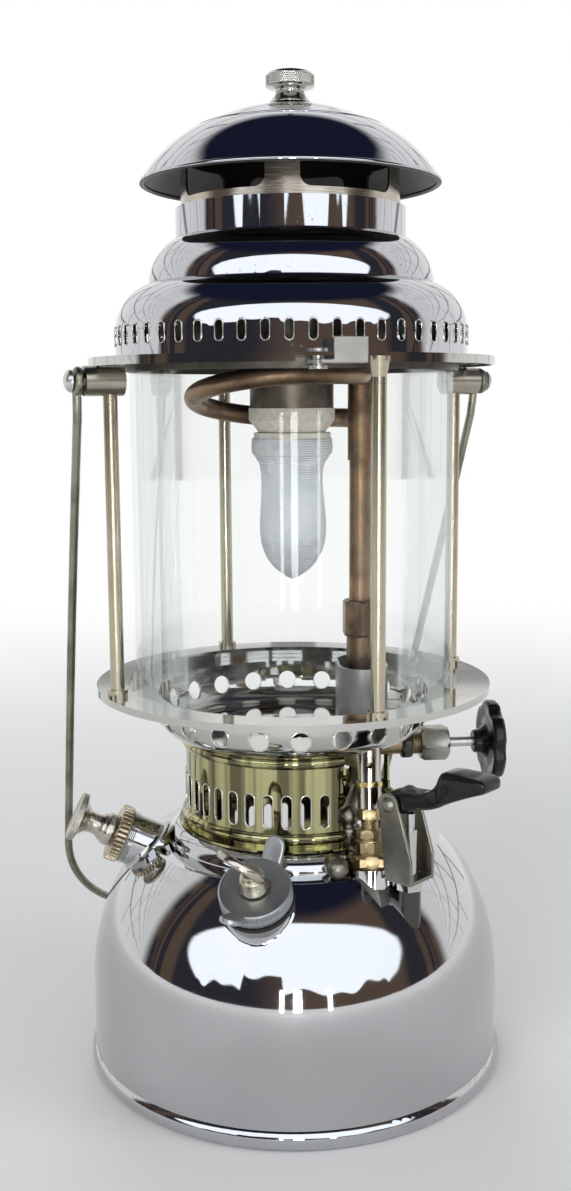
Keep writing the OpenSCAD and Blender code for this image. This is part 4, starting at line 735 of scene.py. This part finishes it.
# Rods and lugs: nickelled steel rods screwed into round side lugs, with a small hex at the foot.
# A domed rivet through each lug carries the bail.
def brushed(name, tint, rough, along=False, stain=0.5, warm=None, sooted=False):
    """Brushed metal, with its grain round the axis or along it, and warm stains."""
    sheet = Finish(name, Metallic=1.0)
    where = sheet.place()
    x, y, z = sheet.parts(where)
    if along:
        grain = sheet.noise(sheet.vector(x * 2400, y * 2400, z * 20), 1.0, 3)
    else:
        grain = sheet.noise(sheet.vector(y.arctan2(x) * 3, 0, z * 2600), 1.0, 3)
    cloud = sheet.noise(where, 35, 4, 0.6)
    colour = sheet.mix(cloud.ramp(0.4, 0.8) * stain, tint, warm or tuple(c * 0.66 for c in tint))
    gloss = rough + grain.ramp(0.3, 0.8) * 0.12 + cloud.ramp(0.4, 0.8) * 0.1
    if sooted:
        soot = soot_share(sheet, x, y)
        colour = sheet.mix(soot, colour, (0.03, 0.026, 0.024))
        gloss = gloss + soot * 0.35
    return sheet.set(Base_Color=colour, Roughness=gloss, Normal=sheet.bump(grain, 0.08, 0.0003))


rod_nickel = brushed("rod_nickel", (0.47, 0.43, 0.33), 0.15, along=True, warm=(0.28, 0.22, 0.14))
lug_steel = brushed("lug_steel", (0.44, 0.41, 0.34), 0.2, stain=0.9)
catch_steel = turned_metal("catch_steel", (0.40, 0.39, 0.37), (0.22, 0.21, 0.19), 0.2, edge=0.0007)
dark_steel = turned_metal("dark_steel", (0.16, 0.15, 0.13), (0.05, 0.045, 0.04), 0.32, 0.7)
finish_nodes(rod_nickel, "rod_right", "rod_back", "rod_left", "rod_front")
finish_nodes(lug_steel, "lug_right", "lug_left")
bail_height = 285.2
heads = bmesh.new()
for az in (0, 180):
    rivet = perch(az, out=91, up=bail_height, lean=90)
    dome = [(4.4 * math.cos(i / 8 * 1.45), 2.95 * math.sin(i / 8 * 1.45)) for i in range(1, 9)]
    lathe(heads, rivet, [(0.3, 0), (4.1, 0), (4.4, 0.2)] + dome + [(0.3, 2.94)], 48)
    lathe(heads, rivet, [(0.3, -12), (2, -12), (2, 0.1), (0.3, 0.1)], 32)
piece("bail_rivets", heads, bright_steel, "frame", ["rivet_left", "rivet_right"])
finish_nodes(bright_steel, "catch_rivet")
finish_nodes(catch_steel, "hood_catch")
finish_nodes(dark_steel, "globe_keeper")

# Globe: a clear cylinder of heat-proof glass with ground ends. It stands loose in the bowl's seat,
# and a flange on the top ring keeps it upright.
clear = Finish("clear_glass", Base_Color=(0.97, 0.99, 0.99, 1), Roughness=0.02, IOR=1.47)
shine = clear.add("ShaderNodeFresnel", inputs={"IOR": 1.4})
through = clear.add("ShaderNodeBsdfTransparent", inputs={"Color": (0.985, 0.99, 0.988, 1)})
glare = {"Color": (0.9, 0.93, 0.93, 1), "Roughness": 0.015}
gloss = clear.add("ShaderNodeBsdfGlossy", inputs=glare)
film = clear.noise(clear.place(), 30, 4).ramp(0.5, 0.9) * 0.015
ends = {0: (shine * 0.4 + film).clamp(), 1: through, 2: gloss}
finish_nodes(clear.cover(clear.add("ShaderNodeMixShader", inputs=ends)), "globe")

# Fuel control: a brass body under the bowl, a dark lock nut, a large chamfered packing nut on a
# brass thread, a bright spindle, and a hand wheel of black moulding with six lobes.
control_az = -18
spindle_seat = perch(control_az, up=132.6, lean=90)
finish_nodes(dull_brass, "control_body", "jet")
finish_nodes(bright_steel, "spindle", "needle")
gland_nickel = turned_metal("gland_nickel", (0.50, 0.49, 0.43), (0.22, 0.21, 0.18), 0.2)


def hexed(flats, first):
    """A shape that cuts a turned profile down to a hexagon across its flats."""

    def cut(a, r, z):
        off = (math.degrees(a) - first) % 60 - 30
        return min(r, flats / 2 / math.cos(math.radians(off)))

    return cut


def nut(shell, place, flats, low, high, bore=0.3, chamfer=0.8, first=30):
    """A chamfered hexagonal nut between two heights of an axis."""
    corner = flats / 2 / math.cos(math.pi / 6)
    face = flats / 2 * 0.97
    drop = (corner - face) * chamfer
    rows = [(bore, low), (face, low), (corner, low + drop)]
    rows += [(corner, high - drop), (face, high), (bore, high)]
    lathe(shell, place, rows, 72, hexed(flats, first), looped=True)


def thread(shell, place, radius, low, high, pitch=0.8, depth=0.3):
    """A fine thread, as grooves round a rod."""
    rows = [(0.3, low)]
    count = max(2, round((high - low) / pitch))
    for i in range(count):
        z = low + (high - low) * i / count
        rows += [(radius - depth, z), (radius, z + pitch * 0.5)]
    lathe(shell, place, rows + [(radius - depth, high), (0.3, high)], 48)


gland = bmesh.new()
nut(gland, spindle_seat, 13.4, 54, 66, bore=2.2, chamfer=1.1)
piece("packing_nut_chamfered", gland, gland_nickel, "frame", ["packing_nut"])
lock = bmesh.new()
nut(lock, spindle_seat, 12, 46, 50.4, bore=4.4, first=12)
piece("lock_nut_chamfered", lock, dark_steel, "frame", ["lock_nut"])
gland_thread = bmesh.new()
thread(gland_thread, spindle_seat, 4.75, 50.4, 54.2)
piece("gland_thread", gland_thread, dull_brass, "frame")


moulding = Finish("black_moulding", Coat_Weight=0.15, Coat_Roughness=0.06, Specular_IOR_Level=0.3)
scuff = moulding.noise(moulding.place(), 120, 5, 0.65)
rim, soft = moulding.wear(0.0006)
rubbed = (rim * 0.3 + scuff.ramp(0.6, 0.9) * 0.2).clamp()
black_moulding = moulding.set(
    Base_Color=moulding.mix(rubbed, (0.007, 0.007, 0.008), (0.09, 0.09, 0.10)),
    Roughness=0.16 + scuff.ramp(0.4, 0.8) * 0.18,
    Normal=moulding.bump(scuff, 0.05, 0.0003, soft),
)
wheel_r = 17.5


def lobed(a, r, z):
    """Six lobes: round bites out of the rim, strongest at its edge."""
    away, bite, web = 22.0, 6.3, 9
    off = math.radians(math.degrees(a) % 60 - 30)
    s = away * math.sin(off)
    if abs(s) >= bite or r < web:
        return r
    edge = away * math.cos(off) - math.sqrt(bite**2 - s**2)
    cut = (wheel_r - edge) * min(1.0, (r - web) / (wheel_r - web)) ** 1.5
    return r - cut if edge < wheel_r else r


wheel = bmesh.new()
wheel_rows = [
    (2.15, 77), (4.4, 77), (4.8, 77.6), (5.4, 80.2), (7.4, 82.6), (11, 83.3), (14.4, 82.6),
    (16.4, 82.4), (wheel_r, 83.6), (wheel_r, 86.6), (16.6, 87.8), (13, 88), (9, 87.4), (6, 87.3),
    (2.15, 87.3),
]
lathe(wheel, spindle_seat, eased(wheel_rows, 0.5), 180, lobed, looped=True)
piece("hand_wheel_moulded", wheel, black_moulding, "control", ["hand_wheel"])
screw = bmesh.new()
screw_rows = [(0.3, 86.4), (3.4, 86.4), (3.4, 87.6), (2.4, 88.1), (0.3, 88.2)]
lathe(screw, spindle_seat, eased(screw_rows, 0.4), 48)
piece("wheel_screw", screw, bright_steel, "control")

# Riser: a brass pipe that leaves the tank under a two-tier union nut and runs to the control
# body. A ball elbow beside it, dulled to grey, ends the return pipe on the tank's ledge.
grey_brass = turned_metal("grey_brass", (0.34, 0.32, 0.27), (0.13, 0.12, 0.09), 0.24, 0.7)
finish_nodes(grey_brass, "riser")
union_seat = perch(az=-82, out=41)
union = bmesh.new()
nut(union, union_seat, 10, 102.8, 107.1, bore=3.45)
tier = [(3.45, 107), (4.75, 107), (4.9, 107.3), (4.9, 109.2), (4.3, 109.8), (3.45, 109.8)]
lathe(union, union_seat, eased(tier, 0.3), 72, looped=True)
piece("union_nut", union, grey_brass, "frame", ["riser_nut"])
ball = bmesh.new()
ball_seat = perch(az=-97.2, out=57.4, up=99.35)
ball_r = 4.55
arc = [(ball_r * math.sin(a), -ball_r * math.cos(a)) for a in around(48)[1:24]]
lathe(ball, ball_seat, [(0.2, -ball_r)] + arc + [(0.2, ball_r)], 48)
collar = eased([(0.3, 2), (3.6, 2), (3.7, 2.4), (3.7, 6.2), (3.3, 6.6), (0.3, 6.6)], 0.3)
lathe(ball, ball_seat @ Matrix.Rotation(math.radians(-90), 4, "Y"), collar, 48)
piece("return_elbow", ball, grey_brass, "frame")

# Vaporiser: a brass tube browned by heat, with a long nut, a sleeve, and a loop of thick tube
# that falls in one turn round the burner.
browned = turned_metal("browned_brass", (0.34, 0.23, 0.14), (0.10, 0.065, 0.045), 0.3, 0.8)
finish_nodes(browned, "generator", "jet_sleeve")
finish_nodes(brushed("flame_steel", (0.5, 0.5, 0.5), 0.3), "flame_sleeve")
generator_seat = perch(control_az, out=28.2)
long_nut = bmesh.new()
nut(long_nut, generator_seat, 13.5, 180, 195, bore=4.55, chamfer=0.7)
piece("generator_nut_chamfered", long_nut, browned, "frame", ["generator_nut"])
loop_r, loop_top, loop_fall, tube_r = 33.9, 287.6, 17.6, 4


def smooth(value):
    """0 to 1 with a soft start and end."""
    value = clipped(value)
    return value * value * (3 - 2 * value)


loop = bmesh.new()
loop_path = []
for i in range(97):
    a = 6 + (360 - 12) * i / 96
    sunk = loop_fall * smooth((a - 70) / 220)
    loop_path.append(polar(loop_r, math.radians(-a), loop_top - sunk))
wire(loop, perch(control_az) @ Matrix.Translation((-5.7, 0, 0)), loop_path, tube_r, 24)
piece("fuel_loop_tube", loop, browned, "frame", ["fuel_loop"])

# Quick preheater: turned brass nuts on the tank, a nickelled torch tube with a bright brass
# ring, and a folded and plated steel bracket that carries the valve and its lever.
torch_seat = (
    Matrix.Translation((8.5 * mm, -54.1 * mm, 96.6 * mm))
    @ Matrix.Rotation(math.radians(68), 4, "Z")
    @ Matrix.Rotation(math.radians(10), 4, "Y")
    @ Matrix.Scale(mm, 4)
)
nuts = bmesh.new()
nut(nuts, torch_seat, 16.6, 0, 5.2, chamfer=0.7)
nut(nuts, torch_seat, 9.4, 5.2, 10.2, chamfer=0.3, first=10)
lathe(nuts, torch_seat, eased([(0.3, 9.9), (5.7, 9.9), (5.7, 10.8), (0.3, 10.8)], 0.2), 72)
nut(nuts, torch_seat, 9, 10.8, 14.8, first=10)
thread(nuts, torch_seat, 3.5, 14.8, 18.4)
nut(nuts, torch_seat, 9, 18.4, 23, first=24)
piece("preheater_nuts", nuts, dull_brass, "frame", ["preheater_base"])
gold_brass = turned_metal("gold_brass", (0.86, 0.70, 0.30), (0.55, 0.40, 0.14), 0.16)
bracket_steel = turned_metal(
    "bracket_steel", (0.36, 0.35, 0.30), (0.14, 0.13, 0.11), 0.26, grime=0.7, edge=0.0007, wear=1.0
)
finish_nodes(chrome("torch_nickel", (0.56, 0.53, 0.46), 0.1, 0.8), "torch_tube")
finish_nodes(chrome("valve_nickel", (0.62, 0.61, 0.58), 0.05, 0.5), "valve_barrel")
finish_nodes(gold_brass, "torch_band")
finish_nodes(bracket_steel, "valve_bracket", "lever_pin")
finish_nodes(bright_steel, "plunger")

# Boss under the valve: a plain stud soldered to the dome, which holds the bracket up. Its sides
# are painted near-black chrome: painted shade and a painted dark reflection under the bracket.
valve_x, valve_y, boss_reach = 17.7, -69.2, 4.6
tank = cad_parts["tank"]
# Near-black chrome on the boss's side faces: painted shade under the bracket.
tank.data.materials.append(chrome("boss_painted_shade", (0.10, 0.095, 0.09), 0.16, 0.6))
for face in tank.data.polygons:
    from_valve = math.hypot(face.center.x / mm - valve_x, face.center.y / mm - valve_y)
    if from_valve < boss_reach and abs(face.normal.z) < 0.05:
        face.material_index = 1

# Preheater lever: black moulding, a hub with a cam, a curved arm and a rounded paddle grip. It
# turns on a pin through the bracket's two cheeks.
pin_in, pin_up = 5, 30
lever_seat = (
    Matrix.Translation((valve_x * mm, valve_y * mm, 95.5 * mm))
    @ Matrix.Rotation(math.radians(-66), 4, "Z")
    @ Matrix.Translation((-pin_in * mm, 0, pin_up * mm))
    @ Matrix.Scale(mm, 4)
)
lever = bmesh.new()
profile = (
    # along, top, bottom, half width
    (-4.4, 0.9, -0.9, 5.1), (-3.8, 2.6, -2.6, 5.4), (-2.4, 4.0, -3.9, 5.5), (0, 4.8, -4.4, 5.5),
    (2.5, 5.2, -4.0, 5.5), (5, 5.4, -3.4, 5.5), (7.5, 5.5, -2.2, 5.4), (10, 5.7, -0.9, 5.2),
    (13, 6.3, -0.2, 5.0), (16, 7.6, 0.3, 5.0), (18.5, 9.6, 1.2, 5.1), (20.4, 12.0, 2.0, 5.4),
    (21.6, 14.6, 2.6, 6.0), (22.6, 16.2, 3.2, 6.4), (24, 16.8, 4.1, 6.5), (28, 17.0, 6.0, 6.5),
    (33, 17.0, 8.3, 6.5), (38, 16.9, 10.4, 6.4), (40.6, 16.5, 11.4, 6.1), (41.6, 15.8, 12.1, 5.6),
    (42, 14.9, 13.0, 4.8),
)
stations = [(x, (top + low) / 2, wide, (top - low) / 2, False) for x, top, low, wide in profile]
slab(lever, lever_seat, stations, 5.5, 40)
piece("lever_moulded", lever, black_moulding, "lever", ["preheater_lever"], 40)

# Bail: one plated steel wire, bent into an eye round each rivet, dulled and stained by use. It
# hangs aslant behind the lantern, and swings on the rivets.
bail_lean, bail_taper = math.radians(19.696), math.radians(2.4)
bail_drop, bend_r, wire_r = 262, 46, 1.75
straight, run_in = 212, 12
eye_x, eye_r, eye_turn = 88.2, 3.7, 262
bail_seat = (
    Matrix.Translation((0, 0, bail_height * mm))
    @ Matrix.Rotation(bail_lean, 4, "X")
    @ Matrix.Scale(mm, 4)
)
arm = (bail_drop - bend_r) / math.cos(bail_taper) + bend_r * math.tan(bail_taper)
foot_x = 88.7 - arm * math.sin(bail_taper)
corner_x = foot_x - bend_r * math.cos(bail_taper)
half_wire = [(corner_x * i / 8, 0, -bail_drop) for i in range(8)]
for i in range(25):
    a = math.radians(-90) + (math.pi / 2 - bail_taper) * i / 24
    rise = bend_r * math.sin(a)
    half_wire.append((corner_x + bend_r * math.cos(a), 0, bend_r - bail_drop + rise))
top_x, _, top_z = half_wire[-1]
for i in range(1, 30):
    t = i / 29
    bow = math.sin(math.pi * t) * 0.6
    aside = eye_r * smooth(1 - (1 - t) * straight / run_in)
    half_wire.append((top_x + (eye_x - top_x) * t + bow, aside, top_z * (1 - t)))
for i in range(1, 19):
    a = math.radians(i / 18 * eye_turn)
    half_wire.append((eye_x + i / 18, eye_r * math.cos(a), eye_r * math.sin(a)))
other_half = [(-x, y, z) for x, y, z in reversed(half_wire[1:])]
bail = bmesh.new()
wire(bail, bail_seat, other_half + half_wire, wire_r, 16)
bail_wire = turned_metal("bail_wire", (0.36, 0.35, 0.28), (0.13, 0.12, 0.09), 0.26, 0.7)
piece("bail_bent", bail, bail_wire, "bail", ["bail"])

# Burner unit: darkened steel casing and mixing tube, and a fired clay nozzle that carries the
# mantle's ring. It lifts out as one with the hood off.
clay = Finish("fired_clay")
chalk = clay.noise(clay.place(), 400, 5, 0.7)
clay.set(
    Base_Color=clay.mix(chalk.ramp(0.35, 0.75), (0.78, 0.75, 0.68), (0.62, 0.56, 0.47)),
    Roughness=0.75 + chalk * 0.1,
    Normal=clay.bump(chalk, 0.3, 0.0003),
)
mixing_steel = turned_metal("mixing_steel", (0.20, 0.17, 0.14), (0.07, 0.06, 0.05), 0.34, 0.8)
finish_nodes(dark_steel, "inner_casing")
finish_nodes(mixing_steel, "mixing_tube")
finish_nodes(clay.material, "ceramic_nozzle", "mantle_ring")

# Mantle: a knitted sock of white ash-cloth, pleated and gathered on its clay ring by a tied
# string, with a loose frill above the string. Its knit is open at the waist and the belly.
low_corner, high_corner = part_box("mantle")
mantle_top = high_corner[2] / mm
mantle_long = (high_corner[2] - low_corner[2]) / mm
wales, rows_per_metre = 16.5, 1050
knit = Finish("knitted_mantle", Sheen_Weight=0.15, Subsurface_Weight=0.12, Subsurface_Scale=0.002)
kx, ky, kz = knit.parts(knit.place())
slip = knit.noise(knit.place(), 90, 3)
under_top = mantle_top * mm - kz
down = under_top / (mantle_long * mm)
row = under_top * rows_per_metre + slip * 0.9
stitch = ky.arctan2(kx) * wales + slip * 0.7 + row.floor() * 0.5
dot_x = stitch.fraction() - 0.5
dot_y = row.fraction() - 0.5
eye = 1 - (dot_x * dot_x + dot_y * dot_y).ramp(0.03, 0.13)
belly_zone = down.ramp(0.62, 0.70) * (1 - down.ramp(0.80, 0.86))
waist_zone = 1 - down.ramp(0.10, 0.22)
patchy = knit.noise(knit.place(), 140, 2).ramp(0.42, 0.56)
open_knit = ((belly_zone + waist_zone * 0.7) * patchy).clamp()
milk = knit.noise(knit.place(), 60, 4).ramp(0.3, 0.75)
ash = knit.mix(milk, (0.76, 0.79, 0.84), (0.90, 0.92, 0.95))
# The stitch holes are painted dark grey, most where the knit is open: painted shade of the sock's
# hollow inside.
knit.set(
    Base_Color=knit.mix(eye * (open_knit * 0.8 + 0.14), ash, (0.24, 0.24, 0.27)),
    Roughness=0.82 + eye * 0.1,
    Alpha=0.93 - eye * open_knit * 0.6 - (1 - milk) * 0.12,
    Normal=knit.bump(1 - eye * 0.8 + slip * 0.3, 0.35, 0.0004),
)

# Share of the way down, and the cloth's radius there: a tie, a waist, a belly and a gathered tip.
cloth_line = (
    (0, 15.3), (0.012, 15.1), (0.035, 14.1), (0.06, 13.2), (0.10, 12.7), (0.18, 12.45),
    (0.30, 12.7), (0.42, 13.2), (0.53, 13.6), (0.62, 13.65), (0.70, 13.15), (0.77, 12.1),
    (0.83, 10.6), (0.88, 8.7), (0.92, 6.6), (0.95, 4.6), (0.975, 2.7), (0.99, 1.5), (1, 0.55),
)


def cloth_radius(t):
    """The radius on the line through those points."""
    for (t0, r0), (t1, r1) in zip(cloth_line, cloth_line[1:]):
        if t <= t1:
            return r0 + (r1 - r0) * (t - t0) / (t1 - t0)
    return cloth_line[-1][1]


def draped(a, r, z):
    """Pleats in the frill and under the tie that fade out down the sock, and a slack belly."""
    drop = (mantle_top - z) / mantle_long
    pleat = math.sin(a * 17 + 0.8 * math.sin(a * 3)) + 0.4 * math.sin(a * 31 + 1.3)
    deep = 0.18 if drop < 0.03 else 0.4 * max(0.0, 1 - (drop - 0.03) * 3.2) ** 2
    tip = 0.35 * math.sin(a * 9) * max(0.0, (drop - 0.86) / 0.14) * (1 - drop) * 6
    slack = math.sin(a * 3 + drop * 4) * 0.22 + math.sin(a * 7 - drop * 6 + 1) * 0.1
    return r + (pleat * deep + slack * min(1.0, drop * 4) + tip) * min(1.0, r / 8)


cloth, closing, levels = 0.45, 6, 80
outside = []
for i in range(levels + 1):
    t = i / levels
    outside.append((cloth_radius(t), mantle_top - 0.05 - (mantle_long - 0.1) * t))
inside = []
for r, z in reversed(outside):
    inside.append((max(0.3, r - cloth), z + cloth * max(0, closing - r) / closing))
sock = bmesh.new()
lathe(sock, upright, outside + inside, 220, draped, looped=True)
mantle = piece("mantle_sock", sock, knit.material, "burner", ["mantle"], 180)

string = bmesh.new()
tie_z = mantle_top - 0.062 * mantle_long
tie_path = [polar(13.05, a, tie_z) for a in around(60)]
wire(string, upright, tie_path, 0.4, 8, looped=True)
knot = Matrix.Rotation(math.radians(-100), 3, "Z")
for lean in (-1, 1):
    tail = []
    for k in range(7):
        hang = (13.35 + 0.35 * math.sin(k * 0.6), lean * k * 0.5, tie_z - 0.09 * k * k)
        tail.append(knot @ Vector(hang))
    wire(string, upright, tail, 0.32, 8)
cotton = Finish("tie_string")
twist = cotton.noise(cotton.place(), 1500, 2)
cotton.set(
    Base_Color=cotton.mix(twist, (0.74, 0.75, 0.74), (0.90, 0.91, 0.91)),
    Roughness=0.8 + twist * 0.1,
    Normal=cotton.bump(twist, 0.5, 0.0002),
)
tie = piece("mantle_string", string, cotton.material, "burner")


def ruffled(a, r, z):
    """The cloth's loose edge: small uneven folds that stand off the ring."""
    fold = math.sin(a * 26 + 1.1 * math.sin(a * 5)) * 0.5 + math.sin(a * 43 + z) * 0.25
    return r + (fold + math.sin(z * 2.1 + a * 4) * 0.3) * 0.25 if r > 15.5 else r


edge = bmesh.new()
frill_foot = mantle_top + 0.1
frill_line = (
    (15.2, 0), (15.9, 0.15), (16.35, 1), (16.5, 2.6), (16.45, 4.6), (16.3, 6.2), (15.9, 6.8),
    (15.2, 6.9),
)
frill_rows = [(r, frill_foot + rise) for r, rise in frill_line]
lathe(edge, upright, eased(frill_rows, 0.5), 300, ruffled, looped=True)
frill = piece("mantle_frill", edge, knit.material, "burner", crease=180)

# Hood: spun and chromed cover and cap, held by a brushed nickel chimney between them. The slots
# of the cover have edges of a lighter metal, a painted highlight, the rolled rim of the cap has
# bright edges, and smoke has dulled the inside.
hood_chrome = chrome("hood_chrome", (0.56, 0.565, 0.59), 0.025, 0.7, sooted=True)
chimney_nickel = brushed(
    "chimney_nickel", (0.56, 0.51, 0.43), 0.17, warm=(0.36, 0.28, 0.19), sooted=True
)
finish_nodes(hood_chrome, "hood_cover", "hood_cap")
finish_nodes(chimney_nickel, "hood_chimney")
skirt_r, skirt_top, shoulder = 70.55, 304, 20


def skirt(z):
    """The cover's radius: a straight skirt under a round shoulder."""
    rise = max(0, z - skirt_top)
    return skirt_r - shoulder + math.sqrt(shoulder**2 - rise**2)


cover_slots = 52
lips = bmesh.new()
for i in range(cover_slots):
    az = -114.6 + i * 360 / cover_slots
    slot_lip(lips, az, 3.2, low=298.6, high=306.4, face=skirt, radius=0.22)
piece("cover_slot_lips", lips, lip_highlight_metal, "hood")
rim_r, rim_z, roll_r = 58.9, 362.1, 0.65
roll_rows = [(rim_r + roll_r * math.cos(a), rim_z + roll_r * math.sin(a)) for a in around(14)]
roll = bmesh.new()
lathe(roll, upright, roll_rows, 144, looped=True)
piece("cap_rolled_rim", roll, hood_chrome, "hood")
step = bmesh.new()
step_rows = [
    (36.2, 382.2), (36.6, 382.95), (37.4, 382.7), (37.75, 382.45), (37.8, 382.15), (37.6, 381.9),
]
lathe(step, upright, eased(step_rows, 0.12), 144, looped=True)
piece("cap_step", step, hood_chrome, "hood")

# Top knob: turned from nickelled brass, a waisted foot under a knurled disc. It screws down on
# a long stud and holds the hood on the lantern.
top = bmesh.new()
top_rows = eased(
    [
        (2.5, 392.3), (8.1, 392.3), (8.3, 392.7), (7.3, 393.9), (5.9, 395.8), (5.5, 397.4),
        (6.6, 398.1), (9.0, 398.5), (9.5, 398.9),
    ],
    0.5,
)
top_rows += [(9.6, 399 + i * 0.26) for i in range(15)]
top_rows += eased([(9.5, 402.9), (8.9, 403.3), (8.5, 403.9), (7.6, 404.3), (0.4, 404.38)], 0.35)
top_rows = [(0.4, 398.6), (2.5, 398.5)] + top_rows
lathe(top, upright, top_rows, 480, knurl(80, 0.34, low=9.3, high=9.55, z_low=399, z_high=402.7))
knob_nickel = chrome("knob_nickel", (0.52, 0.51, 0.47), 0.1, 0.6)
piece("top_knob_turned", top, knob_nickel, "knob", ["top_knob"])
finish_nodes(bright_steel, "knob_stud")
